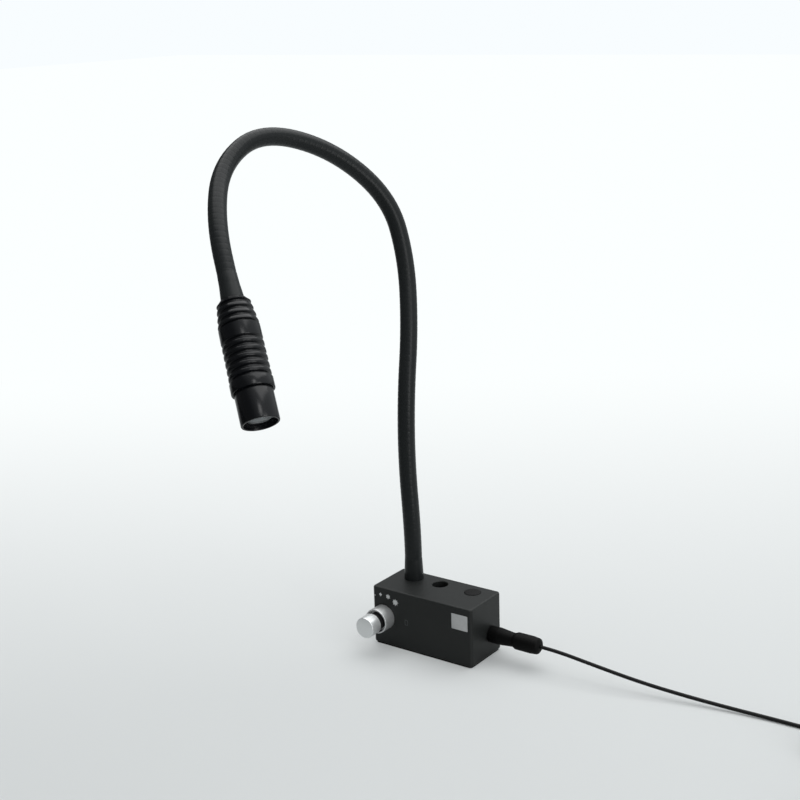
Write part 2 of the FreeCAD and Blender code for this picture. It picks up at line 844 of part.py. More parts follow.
def make_plug():
    """The lead's plug: metal barrel, tapered front shell and flared grip, on the jack's axis."""
    barrel_radius = z.plug_barrel_diameter / 2
    bore = z.plug_barrel_bore / 2
    face = z.plug_face_gap
    seat = face + z.plug_barrel_length / 4
    barrel = turned(
        "plug_barrel",
        [
            (bore, -z.plug_barrel_length),
            (barrel_radius, -z.plug_barrel_length),
            (barrel_radius, seat),
            (bore, seat),
        ],
    )
    nose = z.plug_diameter / 2
    waist = z.plug_waist_diameter / 2
    shell_end = face + z.plug_shell_length
    shell = turned(
        "plug_shell",
        [
            (0.0, seat),
            (barrel_radius, seat),
            (barrel_radius, face),
            (nose - z.plug_face_gap, face),
            (nose, face * 2),
            (nose, face + z.plug_shell_length / 3),
            (waist, shell_end),
            (0.0, shell_end),
        ],
    )
    grip_radius = z.plug_grip_diameter / 2
    tail = z.plug_tail_diameter / 2
    grip_end = shell_end + z.plug_grip_length
    grip = turned(
        "plug_grip",
        [
            (0.0, shell_end),
            (waist, shell_end),
            (waist, shell_end + z.plug_grip_length * 0.07),
            (grip_radius, shell_end + z.plug_grip_length * 0.2),
            (grip_radius, shell_end + z.plug_grip_length * 0.72),
            (grip_radius - face, shell_end + z.plug_grip_length * 0.9),
            (tail, grip_end),
            (0.0, grip_end),
        ],
    )
    for piece in (barrel, shell, grip):
        place(piece, half_width, jack_y, jack_z, TO_RIGHT)
    return [barrel, shell, grip]


class Route:
    """Straight runs joined by tangent arcs through a list of points."""

    def __init__(self, points, share=CORNER_SHARE):
        self.points = [Vector(*p) for p in points]
        self.share = share

    def corner(self, i):
        """Start, middle and end of the arc at one inner point, and its radius."""
        before, here, after = self.points[i - 1 : i + 2]
        way_in = (here - before).normalize()
        way_out = (after - here).normalize()
        reach = self.share * min((here - before).Length, (after - here).Length)
        half = way_in.getAngle(way_out) / 2
        radius = reach / math.tan(half)
        to_centre = (way_out - way_in).normalize()
        centre = here + to_centre * (radius / math.cos(half))
        return here - way_in * reach, centre - to_centre * radius, here + way_out * reach, radius

    def middle(self, run):
        """The middle of the run that starts at one point."""
        return (self.points[run] + self.points[run + 1]) * 0.5

    def edges(self, start, corners, end):
        """Edges from one point of the route to another, round the inner points between them."""
        found = []
        here = start
        for i in corners:
            arc_start, arc_middle, arc_end, _radius = self.corner(i)
            if (arc_start - here).Length > 1e-6:
                found.append(Part.LineSegment(here, arc_start).toShape())
            found.append(Part.Arc(arc_start, arc_middle, arc_end).toShape())
            here = arc_end
        if (end - here).Length > 1e-6:
            found.append(Part.LineSegment(here, end).toShape())
        return found

    def whole(self):
        """All edges of the route."""
        return self.edges(self.points[0], range(1, len(self.points) - 1), self.points[-1])

    def radii(self):
        """The radius at each inner point."""
        return [self.corner(i)[3] for i in range(1, len(self.points) - 1)]


def pipe(edges, diameter, sides=0):
    """A round pipe along edges, or one with flat sides as wide as the round one at its flats."""
    wire = Part.Wire(edges)
    start = edges[0].valueAt(edges[0].FirstParameter)
    along = edges[0].tangentAt(edges[0].FirstParameter)
    if sides:
        across = along.cross(Vector(0, 0, 1))
        if across.Length < 1e-6:
            across = Vector(1, 0, 0)
        across.normalize()
        up = across.cross(along).normalize()
        corner = diameter / 2 / math.cos(math.pi / sides)
        turns = [2 * math.pi * (i + 0.5) / sides for i in range(sides)]
        ring = [start + (across * math.cos(a) + up * math.sin(a)) * corner for a in turns]
        section = Part.makePolygon(ring + ring[:1])
    else:
        section = Part.Wire(Part.Circle(start, along, diameter / 2).toShape())
    return wire.makePipeShell([section], True, False)


def set_shape(label, shape):
    """A labelled Part::Feature with a shape of its own."""
    obj = doc.addObject("Part::Feature", label)
    obj.Shape = shape
    obj.Label = label
    return obj


def tube(edges, outer, inner):
    """A pipe with a bore."""
    return pipe(edges, outer).cut(pipe(edges, inner))


neck_foot = Vector(neck_port_x.value, port_row_y.value, z.box_height.value)
neck = Route([tuple(neck_foot + Vector(*step)) for step in NECK_ROUTE])
head_base = neck.points[-1]
head_way = (neck.points[-1] - neck.points[-2]).normalize()
head_turn = FreeCAD.Rotation(Vector(0, 0, 1), head_way)


def straight(start, end):
    """One straight edge between two points."""
    return [Part.LineSegment(start, end).toShape()]


def make_neck():
    """The neck's wound core, outer sleeve and light guide, in five lengths with four bends between."""
    pieces = []
    last = len(LENGTH_NAMES) - 1
    core, core_bore = z.core_diameter.value, z.core_bore.value
    sleeve, sleeve_bore = z.sleeve_diameter.value, z.sleeve_bore.value
    guide = z.guide_diameter.value
    for i, name in enumerate(LENGTH_NAMES):
        if i == 0:
            end = neck.middle(0)
            up = Vector(0, 0, 1)
            core_edges = straight(neck_foot + up * z.cup_floor.value, end)
            sleeve_edges = straight(neck_foot + up * z.cup_height.value, end)
            stem_end = neck_foot - up * (port_depth.value - z.stem_end_gap.value)
            guide_edges = straight(stem_end, end)
        elif i == last:
            start = neck.middle(BEND_CORNERS[-1])
            core_edges = straight(start, head_base + head_way * z.core_seat.value)
            sleeve_edges = straight(start, head_base + head_way * z.nose_start.value)
            guide_edges = straight(start, head_base + head_way * z.guide_reach.value)
        else:
            first, final = BEND_CORNERS[i - 1], BEND_CORNERS[i]
            edges = neck.edges(neck.middle(first), range(first + 1, final), neck.middle(final - 1))
            core_edges = sleeve_edges = guide_edges = edges
        pieces.append(set_shape(f"neck_core_{name}", tube(core_edges, core, core_bore)))
        pieces.append(set_shape(f"neck_sleeve_{name}", tube(sleeve_edges, sleeve, sleeve_bore)))
        pieces.append(set_shape(f"light_guide_{name}", pipe(guide_edges, guide)))
    for i, corner in enumerate(BEND_CORNERS, start=1):
        edges = neck.edges(neck.middle(corner - 1), [corner], neck.middle(corner))
        inside = Part.makeCompound([tube(edges, core, core_bore), pipe(edges, guide)])
        pieces.append(set_shape(f"neck_bend_{i}_core", inside))
        pieces.append(set_shape(f"neck_bend_{i}_sleeve", tube(edges, sleeve, sleeve_bore)))
    return pieces


def make_neck_fittings():
    """The stem that plugs into the port, and the soft boots at both ends of the neck."""
    stem = port_radius - z.stem_gap
    cup = z.sleeve_diameter / 2
    bore = z.guide_diameter / 2
    seat = z.core_diameter / 2
    bottom = z.stem_end_gap - port_depth
    stem_body = turned(
        "neck_stem",
        [
            (bore, bottom),
            (stem, bottom),
            (stem, 0.0),
            (cup, 0.0),
            (cup, z.cup_height),
            (seat, z.cup_height),
            (seat, z.cup_floor),
            (bore, z.cup_floor),
        ],
    )
    place(stem_body, neck_port_x, port_row_y, z.box_height)
    inner = cup + z.boot_gap
    thick = inner + z.boot_wall
    top = z.base_boot_length
    base_boot = turned(
        "base_boot",
        [(inner, 0.0), (thick, 0.0), (thick, top * 0.6), (inner + z.boot_wall / 2, top), (inner, top)],
    )
    place(base_boot, neck_port_x, port_row_y, z.box_height)
    start = z.nose_start - z.head_boot_length
    head_boot = turned(
        "head_boot",
        [
            (inner, start),
            (inner + z.boot_wall / 2, start),
            (thick, z.nose_start - z.head_boot_length * 0.4),
            (z.head_boot_diameter / 2, z.nose_start - z.boot_wall),
            (z.head_boot_diameter / 2, z.nose_start),
            (inner, z.nose_start),
        ],
    )
    return [stem_body, base_boot, head_boot]


def groove_outline(centre, radius):
    """Four corners of one rib groove, open at the outside, sunk below a radius."""
    floor, mouth = z.groove_floor / 2, z.groove_mouth / 2
    outside = radius + z.groove_depth
    slope = mouth + (mouth - floor)
    return [
        (radius - z.groove_depth, centre - floor),
        (outside, centre - slope),
        (outside, centre + slope),
        (radius - z.groove_depth, centre + floor),
    ]


def make_head_body():
    """The ribbed shell of the head: a turned form with a stepped bore and two sets of grooves."""
    nose = z.nose_diameter / 2
    shoulder = z.shoulder_diameter / 2
    grip = z.grip_diameter / 2
    grip_end = z.grip_end_diameter / 2
    ring = z.ring_diameter / 2
    edge = z.ring_chamfer
    shoulder_end = z.nose_start + z.shoulder_length
    core = z.core_diameter / 2 + z.bore_gap
    guide = z.guide_diameter / 2 + z.bore_gap
    bore = z.barrel_tail_diameter / 2 + z.slide_gap
    counterbore = z.barrel_diameter / 2 + z.front_gap
    body = new_body("head_body")
    turn_profile(
        body,
        [
            (core, z.nose_start),
            (nose, z.nose_start),
            (shoulder, shoulder_end),
            (grip, grip_start),
            (grip_end, ring_start - edge),
            (ring, ring_start),
            (ring, ring_end - edge),
            (ring - edge, ring_end),
            (counterbore, ring_end),
            (counterbore, ring_end - z.counterbore_depth),
            (bore, ring_end - z.counterbore_depth),
            (bore, z.guide_reach),
            (guide, z.guide_reach),
            (guide, z.core_seat),
            (core, z.core_seat),
        ],
    )
    slope = (grip - shoulder) / z.taper_length
    for i in range(TAPER_GROOVES):
        centre = z.taper_groove_start + z.rib_pitch * i
        radius = shoulder + slope * (centre - shoulder_end)
        turn_profile(body, groove_outline(centre, radius), "Groove")
    groove = turn_profile(body, groove_outline(z.grip_groove_start, grip), "Groove")
    doc.recompute()
    pattern = body.newObject("PartDesign::LinearPattern", "head_body_ribs")
    pattern.Originals = [groove]
    pattern.Direction = (groove.Profile[0], ["V_Axis"])
    pattern.Occurrences = GRIP_GROOVES
    tie(pattern, Length=z.rib_pitch * (GRIP_GROOVES - 1))
    body.Tip = pattern
    return body


def make_barrel_parts():
    """The sliding front barrel with its lens and the ring that holds the lens."""
    bore = z.barrel_bore / 2
    tail = z.barrel_tail_diameter / 2
    outer = z.barrel_diameter / 2
    seat = z.lens_diameter / 2 + z.bore_gap
    edge = z.barrel_chamfer
    barrel = turned(
        "front_barrel",
        [
            (bore, barrel_shoulder - z.barrel_tail_length),
            (tail, barrel_shoulder - z.barrel_tail_length),
            (tail, barrel_shoulder),
            (outer, barrel_shoulder),
            (outer, barrel_end - edge),
            (outer - edge, barrel_end),
            (seat, barrel_end),
            (seat, lens_seat),
            (bore, lens_seat),
        ],
    )
    rim = z.lens_diameter / 2
    clear = rim - z.lens_flat
    rise = z.lens_rise
    curve = (clear * clear + rise * rise) / (rise * 2)
    rim_top = lens_seat + z.lens_edge
    lens = turned(
        "front_lens",
        [
            (0.0, lens_seat),
            (rim, lens_seat),
            (rim, rim_top),
            (clear, rim_top),
            (0.0, rim_top + rise, curve),
        ],
    )
    inner = rim - z.retainer_width
    retainer = turned(
        "lens_retainer",
        [
            (inner, rim_top),
            (rim, rim_top),
            (rim, rim_top + z.retainer_height),
            (inner, rim_top + z.retainer_height),
        ],
    )
    return [barrel, lens, retainer]


def biarc(start, way_in, end, way_out):
    """Two tangent arcs between two points with given directions."""
    gap = end - start
    both = way_in + way_out
    a = 2 * (1 - way_in.dot(way_out))
    b = 2 * gap.dot(both)
    c = -gap.dot(gap)
    reach = -c / b if abs(a) < 1e-9 else (-b + math.sqrt(b * b - 4 * a * c)) / (2 * a)
    joint = (start + end + (way_in - way_out) * reach) * 0.5
    arcs = []
    for first, last, tip in ((start, joint, start + way_in * reach), (joint, end, end - way_out * reach)):
        weight = (last - first).Length / 2 / reach
        middle = (first + last + tip * 2 * weight) * (1 / (2 + 2 * weight))
        arcs.append(Part.Arc(first, middle, last).toShape())
    return arcs


def coil_point(centre, half_turns):
    """Place and direction on the coil after some half turns, clockwise from its +Y side."""
    pitch = z.coil_pitch.value
    layer = int(half_turns // COIL_LAYER_HALF_TURNS)
    steps = half_turns - layer * COIL_LAYER_HALF_TURNS
    spiral_steps = COIL_LAYER_HALF_TURNS - 1
    inward = layer % 2 == 0
    travelled = steps if inward else spiral_steps - steps
    radius = z.coil_outer_radius.value - travelled * pitch / 2
    rate = pitch / (2 * math.pi)
    if steps in (0, spiral_steps):
        radius += z.coil_turn_room.value if inward == (steps == 0) else -z.coil_turn_room.value
        rate = 0.0
    angle = math.pi / 2 - math.pi * half_turns
    out = Vector(math.cos(angle), math.sin(angle), 0)
    forward = Vector(math.sin(angle), -math.cos(angle), 0)
    way = forward * radius + out * (-rate if inward else rate)
    return centre + out * radius + Vector(0, 0, layer * pitch), way.normalize()


def make_coil_path():
    """The edges of the stored coil, straight at both ends, and the point where it ends."""
    start = Vector(*LEAD_ROUTE[-1])
    lead_in = Vector(z.cord_diameter.value, 0, 0)
    first_radius = z.coil_outer_radius.value + z.coil_turn_room.value
    centre = start + lead_in - Vector(0, first_radius, 0)
    half_turns = COIL_LAYERS * COIL_LAYER_HALF_TURNS - 1
    stops = list(range(half_turns)) + [half_turns - 0.5]
    marks = [coil_point(centre, stop) for stop in stops]
    edges = straight(start, start + lead_in)
    for (point, way_in), (following, way_out) in zip(marks, marks[1:]):
        edges += biarc(point, way_in, following, way_out)
    last, way = marks[-1]
    end = last + way * z.cord_diameter.value
    return edges + straight(last, end), end


def least_self_gap(edges, diameter, apart):
    """The least clear gap between stretches of a pipe that are a given length apart along it."""
    marks = []
    run = 0.0
    for edge in edges:
        steps = max(2, int(edge.Length))
        for i in range(steps):
            share = i / steps
            first, last = edge.FirstParameter, edge.LastParameter
            marks.append((run + edge.Length * share, edge.valueAt(first + (last - first) * share)))
        run += edge.Length
    least = math.inf
    for i, (at, point) in enumerate(marks):
        for later, other in marks[i + 1 :]:
            if later - at > apart:
                least = min(least, point.distanceToPoint(other))
    return least - diameter


def report_cord(name, edges, shape, area):
    """Prints a tube's length and how its volume compares with section times length."""
    length = sum(edge.Length for edge in edges)
    print(f"{name}: length {length:.1f} mm, volume over section times length {shape.Volume / area / length:.4f}")


def make_lead():
    """The thin lead: its free run to the table, the stored coil, the tail and the end connector."""
    diameter = z.cord_diameter.value
    area = math.pi * diameter**2 / 4
    flat_area = COIL_SIDE_COUNT * math.tan(math.pi / COIL_SIDE_COUNT) * diameter**2 / 4
    grip_end = z.plug_face_gap + z.plug_shell_length + z.plug_grip_length
    exit_x = half_width.value + grip_end.value
    first_run = [(x, jack_y.value, jack_z.value) for x in (exit_x, exit_x + z.lead_exit_run.value)]
    lead = Route(tuple(first_run) + LEAD_ROUTE)
    lead_shape = pipe(lead.whole(), diameter)
    report_cord("power_cord", lead.whole(), lead_shape, area)
    print("power_cord radii:", [round(r, 1) for r in lead.radii()])

    coil_edges, coil_end = make_coil_path()
    coil_shape = pipe(coil_edges, diameter, COIL_SIDE_COUNT)
    report_cord("cord_coil", coil_edges, coil_shape, flat_area)
    gap = least_self_gap(coil_edges, diameter, z.coil_outer_radius.value * 2)
    print(f"cord_coil least gap to itself: {gap:.2f} mm")
    coil_radii = [edge.Curve.Radius for edge in coil_edges[1:-1]]
    print("cord_coil least radius:", round(min(coil_radii), 1))

    tail = Route([tuple(coil_end)] + [tuple(coil_end + Vector(*step)) for step in TAIL_ROUTE])
    tail_shape = pipe(tail.whole(), diameter)
    report_cord("cord_tail", tail.whole(), tail_shape, area)
    print("cord_tail radii:", [round(r, 1) for r in tail.radii()])
    pieces = [
        set_shape("power_cord", lead_shape),
        set_shape("cord_coil", coil_shape),
        set_shape("cord_tail", tail_shape),
    ]
    return pieces + make_end_connector(tail.points[-1])


def make_end_connector(entry):
    """The flat connector on the lead's far end, lying on the table and pointing to -Y."""
    x, y = entry.x, entry.y
    grip_size = (z.connector_width, z.connector_length, z.connector_height)
    grip = block(grip_size, x, y - z.connector_length / 2, 0.0)
    face_y = y - z.connector_length
    bottom = (z.connector_height - z.contact_height) / 2
    shell_size = (z.contact_width, z.contact_length, z.contact_height)
    shell = block(shell_size, x, face_y - z.contact_length / 2, bottom)
    inner_width = z.contact_width - z.contact_wall * 2
    inner_height = z.contact_height - z.contact_wall * 2
    floor = bottom + z.contact_wall
    hollow_size = (inner_width, z.contact_length, inner_height)
    hollow = block(hollow_size, x, face_y - z.contact_length / 2, floor)
    tongue_length = z.contact_length - z.tongue_recess
    tongue = block((inner_width, tongue_length, z.tongue_height), x, face_y - tongue_length / 2, floor)
    return [join("connector_body", [grip, tongue]), carve("connector_shell", shell, [hollow])]


def place_on_head(pieces):
    """Sets pieces that are modelled along Z onto the end of the neck."""
    for piece in pieces:
        piece.Placement = FreeCAD.Placement(head_base, head_turn)
    return pieces


def build():
    """Every sub-part of the illuminator."""
    fittings = make_neck_fittings()
    pieces = [make_housing(), make_base_plate(), make_foot_pad(), make_base_screws()]
    pieces += [make_ballast(), make_circuit_board(), make_board_components()]
    pieces += [make_port_block(), make_port_screw()] + make_lamp()
    pieces += [make_spare_port(), make_port_cap()]
    pieces += make_dimmer() + make_knob_parts()
    pieces += [make_power_jack()] + make_plug() + make_lead()
    pieces += make_neck() + fittings[:2]
    pieces += place_on_head([fittings[2], make_head_body()] + make_barrel_parts())
    return pieces


def check_document():
    """Stops if any object failed, or if a cut left its body's volume as it was."""
    for obj in doc.Objects:
        if {"Invalid", "Error"} & set(obj.State):
            raise RuntimeError(f"{obj.Label} did not compute: {obj.State}")
        if obj.TypeId in ("PartDesign::Pocket", "PartDesign::Groove"):
            if obj.Shape.Volume > obj.BaseFeature.Shape.Volume - 1e-3:
                raise RuntimeError(f"{obj.Label} cut nothing")


def export(pieces):
    """Writes each sub-part to its own file, once every shape has passed."""
    for piece in pieces:
        if piece.Shape.isNull() or not piece.Shape.isValid():
            raise RuntimeError(f"{piece.Label} has no valid shape")
    os.makedirs("parts", exist_ok=True)
    for piece in pieces:
        piece.Shape.exportStep(f"parts/{piece.Label}.step")
    print(f"{len(pieces)} sub-parts written")


parts = build()
doc.recompute()
check_document()
export(parts)
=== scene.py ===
"""Fiber optic illuminator: the finished look of a bench lamp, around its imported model.

Everything is in metres, in the model's frame: the origin is the middle of the footprint on
the table, +Z is up and the knob faces -Y. Outlines for turned pieces and the routes of the
neck and of the lead are in millimetres, as in the part's source.
"""

from __future__ import annotations

import logging
import math
from collections.abc import Iterable, Sequence
from dataclasses import dataclass
from enum import Enum

import bmesh
import bpy
from mathutils import Matrix, Quaternion, Vector


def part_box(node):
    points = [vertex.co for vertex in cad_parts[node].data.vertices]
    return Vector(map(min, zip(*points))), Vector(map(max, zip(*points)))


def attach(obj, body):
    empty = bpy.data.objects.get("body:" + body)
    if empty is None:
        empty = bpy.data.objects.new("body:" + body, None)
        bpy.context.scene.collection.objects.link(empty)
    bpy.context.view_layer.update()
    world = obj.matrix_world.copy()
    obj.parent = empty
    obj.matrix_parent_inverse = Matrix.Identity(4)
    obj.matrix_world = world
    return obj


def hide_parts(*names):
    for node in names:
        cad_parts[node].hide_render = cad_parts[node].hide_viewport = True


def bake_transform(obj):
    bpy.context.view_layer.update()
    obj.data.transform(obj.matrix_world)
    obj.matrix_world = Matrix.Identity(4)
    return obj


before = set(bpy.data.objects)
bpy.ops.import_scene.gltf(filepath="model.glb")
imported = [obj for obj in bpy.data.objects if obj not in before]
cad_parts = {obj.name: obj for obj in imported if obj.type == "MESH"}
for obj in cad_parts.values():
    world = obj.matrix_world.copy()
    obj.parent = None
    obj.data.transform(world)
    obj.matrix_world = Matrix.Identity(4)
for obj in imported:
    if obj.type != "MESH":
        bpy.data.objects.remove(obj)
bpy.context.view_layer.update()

MM = 0.001
FULL_TURN = 2.0 * math.pi
STANDING = Matrix.Rotation(math.radians(90.0), 4, "X")
SHARP_ANGLE = math.radians(32.0)
ON_AXIS = 1e-7
SAME_SPOT = 1e-6
ROOT = "root"
TURNED_MAP = "Turned"
Triple = tuple[float, float, float]
Colour = tuple[float, float, float]
Outline = list[tuple[float, ...]]
log = logging.getLogger("illuminator")


class Axis(Enum):
    """Directions that turned pieces are set along."""

    UP = (0.0, 0.0, 1.0)
    FRONT = (0.0, -1.0, 0.0)
    RIGHT = (1.0, 0.0, 0.0)


class Signal:
    """A number from a node's output, with Python's operators for its Math nodes."""

    def __init__(self, web: Web, socket: bpy.types.NodeSocket) -> None:
        """Wraps a socket of a tree that is being woven."""
        self.web = web
        self.socket = socket

    def maths(self, operation: str, first: object, second: object = 0.0) -> Signal:
        """Adds a Math node.

        Args:
            operation: The node's operation.
            first: Its first number or signal.
            second: Its second number or signal.

        Returns:
            The result.
        """
        return self.web.signal("ShaderNodeMath", {0: first, 1: second}, operation=operation)

    def __add__(self, other: object) -> Signal:
        """The sum."""
        return self.maths("ADD", self, other)

    __radd__ = __add__

    def __sub__(self, other: object) -> Signal:
        """The difference."""
        return self.maths("SUBTRACT", self, other)

    def __rsub__(self, other: object) -> Signal:
        """The difference from a number."""
        return self.maths("SUBTRACT", other, self)

    def __mul__(self, other: object) -> Signal:
        """The product."""
        return self.maths("MULTIPLY", self, other)

    __rmul__ = __mul__

    def __truediv__(self, other: object) -> Signal:
        """The quotient."""
        return self.maths("DIVIDE", self, other)

    def __gt__(self, other: object) -> Signal:
        """1 where this is the greater, else 0."""
        return self.maths("GREATER_THAN", self, other)

    def __abs__(self) -> Signal:
        """The size without its sign."""
        return self.maths("ABSOLUTE", self)

    def wave(self) -> Signal:
        """The sine."""
        return self.maths("SINE", self)

    def larger(self, other: object) -> Signal:
        """The larger of this and another."""
        return self.maths("MAXIMUM", self, other)

    def clipped(self) -> Signal:
        """The value, or 0 where it is under 0 and 1 where it is over 1."""
        return self.maths("MINIMUM", self.larger(0.0), 1.0)


class Web:
    """A node tree under way, of a material or of Geometry Nodes."""

    def __init__(self, tree: bpy.types.NodeTree) -> None:
        """Starts from an empty tree."""
        tree.nodes.clear()
        self.tree = tree

    def node(self, kind: str, inputs: dict | None = None, **settings: object) -> bpy.types.Node:
        """Adds a node.

        Args:
            kind: The node's type.
            inputs: Values or links of its sockets, by name or number.
            **settings: Its properties.

        Returns:
            The node.
        """
        node = self.tree.nodes.new(kind)
        for name, value in settings.items():
            setattr(node, name, value)
        for name, value in (inputs or {}).items():
            source = value.socket if isinstance(value, Signal) else value
            if isinstance(source, bpy.types.NodeSocket):
                self.tree.links.new(source, node.inputs[name])
            else:
                node.inputs[name].default_value = source
        return node

    def signal(
        self, kind: str, inputs: dict | None = None, output: int | str = 0, **settings: object
    ) -> Signal:
        """Adds a node and wraps one of its outputs."""
        return Signal(self, self.node(kind, inputs, **settings).outputs[output])


class ShaderWeb(Web):
    """The tree of a material or of the world."""

    def place(self, stretched: Triple = (1.0, 1.0, 1.0)) -> Signal:
        """Object coordinates, stretched."""
        spot = self.node("ShaderNodeTexCoord").outputs["Object"]
        return self.signal("ShaderNodeMapping", {"Vector": spot, "Scale": stretched})

    def along(self, axis: str, vector: object | None = None) -> Signal:
        """One part of a vector, or of the object coordinates."""
        vector = self.place() if vector is None else vector
        return self.signal("ShaderNodeSeparateXYZ", {0: vector}, axis)

    def measured(self, operation: str, first: object, second: Triple = (0.0, 0.0, 0.0)) -> Signal:
        """The number that a Vector Math node makes of two vectors."""
        inputs = {0: first, 1: second}
        return self.signal("ShaderNodeVectorMath", inputs, "Value", operation=operation)

    def eased(
        self, value: Signal, low: float, high: float, start: float = 0.0, end: float = 1.0
    ) -> Signal:
        """A smooth step.

        Args:
            value: What it follows.
            low: The value up to which it stays at its start.
            high: The value from which it stays at its end.
            start: Its start.
            end: Its end.

        Returns:
            The step.
        """
        inputs = {"Value": value, "From Min": low, "From Max": high, "To Min": start, "To Max": end}
        return self.signal("ShaderNodeMapRange", inputs, interpolation_type="SMOOTHSTEP")

    def noise(self, grain: float, detail: float = 2.0, where: Signal | None = None) -> Signal:
        """Noise from 0 to 1.

        Args:
            grain: The size of its grains, in metres.
            detail: How many finer layers it has.
            where: Its coordinates, or the object's own.

        Returns:
            The noise.
        """
        inputs = {"Vector": where or self.place(), "Scale": 1.0 / grain, "Detail": detail}
        return self.signal("ShaderNodeTexNoise", inputs)

    def blend(self, share: object, first: object, second: object) -> bpy.types.NodeSocket:
        """A colour between two others."""
        first, second = ((*c, 1.0) if isinstance(c, tuple) else c for c in (first, second))
        inputs = {0: share, 6: first, 7: second}
        return self.node("ShaderNodeMix", inputs, data_type="RGBA").outputs[2]

    def relief(self, height: Signal, depth: float) -> bpy.types.NodeSocket:
        """A bumped normal from a height of 0 to 1 and its real depth in metres."""
        inputs = {"Height": height, "Distance": depth}
        return self.node("ShaderNodeBump", inputs).outputs["Normal"]


class GeometryWeb(Web):
    """A Geometry Nodes tree with named inputs."""

    def __init__(self, name: str, inputs: dict[str, str]) -> None:
        """Makes the tree.

        Args:
            name: The tree's name.
            inputs: Its inputs' names and socket types.
        """
        super().__init__(bpy.data.node_groups.new(name, "GeometryNodeTree"))
        sockets = self.tree.interface
        geometry = {"Geometry": "NodeSocketGeometry"}
        for label, kind in (geometry | inputs).items():
            sockets.new_socket(label, in_out="INPUT", socket_type=kind)
        sockets.new_socket("Geometry", in_out="OUTPUT", socket_type="NodeSocketGeometry")
        self.given = self.node("NodeGroupInput").outputs

    def captured(
        self, geometry: Signal, number: Signal, label: str
    ) -> tuple[bpy.types.NodeSocket, Signal]:
        """Keeps a number on a geometry's points.

        Args:
            geometry: The geometry.
            number: The number.
            label: Its name.

        Returns:
            The geometry that holds it, and the kept number.
        """
        node = self.node("GeometryNodeCaptureAttribute", domain="POINT")
        node.capture_items.new("FLOAT", label)
        self.tree.links.new(geometry.socket, node.inputs["Geometry"])
        self.tree.links.new(number.socket, node.inputs[label])
        return node.outputs["Geometry"], Signal(self, node.outputs[label])

    def close(self, geometry: Signal) -> None:
        """Ends the tree with Realize Instances and Set Material."""
        real = self.signal("GeometryNodeRealizeInstances", {0: geometry})
        inputs = {0: real, "Material": self.given["Finish"]}
        clothed = self.signal("GeometryNodeSetMaterial", inputs)
        self.node("NodeGroupOutput", {0: clothed})


MADE: dict[str, bpy.types.Material] = {}


@dataclass(frozen=True)
class Finish:
    """A plain surface, and what every finish shares. Grain and depth are in metres."""

    name: str
    colour: Colour
    roughness: float = 0.5
    metallic: float = 0.0
    grain: float = 0.3 * MM
    depth: float = 0.02 * MM
    specular: float = 0.5

    def material(self) -> bpy.types.Material:
        """The finish's material, made at its first use."""
        if self.name not in MADE:
            made = bpy.data.materials.new(self.name)
            made.use_nodes = True
            made.diffuse_color = (*self.colour, 1.0)
            web = ShaderWeb(made.node_tree)
            shader = self.shade(web)
            web.node("ShaderNodeOutputMaterial", {"Surface": shader.outputs["BSDF"]})
            MADE[self.name] = made
        return MADE[self.name]

    def tinted(self, share: float, lift: float = 0.0) -> Colour:
        """The finish's colour, darker or lighter."""
        return tuple(min(1.0, channel * share + lift) for channel in self.colour)

    def surface(
        self,
        web: ShaderWeb,
        colour: object,
        roughness: Signal,
        height: Signal,
        others: dict[str, object] | None = None,
    ) -> bpy.types.Node:
        """The shader that every finish ends in.

        Args:
            web: The material's tree.
            colour: The base colour.
            roughness: The roughness.
            height: The relief, from 0 to 1.
            others: Inputs besides those that every finish sets.

        Returns:
            The shader's node.
        """
        inputs = {
            "Base Color": colour,
            "Roughness": roughness,
            "Metallic": self.metallic,
            "Specular IOR Level": self.specular,
            "Normal": web.relief(height, self.depth),
        }
        return web.node("ShaderNodeBsdfPrincipled", inputs | (others or {}))

    def shade(self, web: ShaderWeb) -> bpy.types.Node:
        """Fine grain in the colour, the gloss and the relief."""
        cloud = web.noise(self.grain * 12.0, 3.0)
        grit = web.noise(self.grain)
        colour = web.blend(0.6 * cloud + 0.4 * grit, self.tinted(0.8), self.tinted(1.2))
        return self.surface(web, colour, self.roughness - 0.06 + 0.12 * cloud, grit)


@dataclass(frozen=True)
class Coated(Finish):
    """Powder coat on a metal box: orange peel, dust and edges that hands have rubbed."""

    middle: Triple = (0.0, 0.0, 17.4 * MM)
    half: Triple = (32.5 * MM, 15.0 * MM, 16.6 * MM)
    rub_width: float = 1.1 * MM
    rub_patch: float = 2.5 * MM
    dust_speck: float = 0.5 * MM
    cloud_size: float = 14.0 * MM

    def edges(self, web: ShaderWeb) -> Signal:
        """How near a point is to one of the box's edges, from 0 to 1."""
        near = []
        for axis, middle, half in zip("XYZ", self.middle, self.half):
            inside = abs(web.along(axis) - middle) - (half - self.rub_width)
            near.append((inside / self.rub_width).clipped())
        return (near[0] * near[1]).larger(near[2] * near[0].larger(near[1]))

    def shade(self, web: ShaderWeb) -> bpy.types.Node:
        """Peel in the relief, dust in the colour and a smoother, paler rub along the edges."""
        peel = 0.6 * web.noise(self.grain * 3.0, 1.0) + 0.4 * web.noise(self.grain)
        cloud = web.noise(self.cloud_size, 4.0)
        dust = (web.noise(self.dust_speck, 0.0) - 0.66).clipped() * 2.0 * cloud
        rub = (self.edges(web) * (1.6 * web.noise(self.rub_patch, 3.0) - 0.2)).clipped()
        ground = web.blend(cloud, self.tinted(0.86), self.colour)
        dusty = web.blend(dust, ground, self.tinted(2.2, 0.004))
        roughness = self.roughness - 0.05 + 0.1 * cloud - 0.1 * rub
        return self.surface(web, web.blend(rub, dusty, self.tinted(1.7)), roughness, peel)


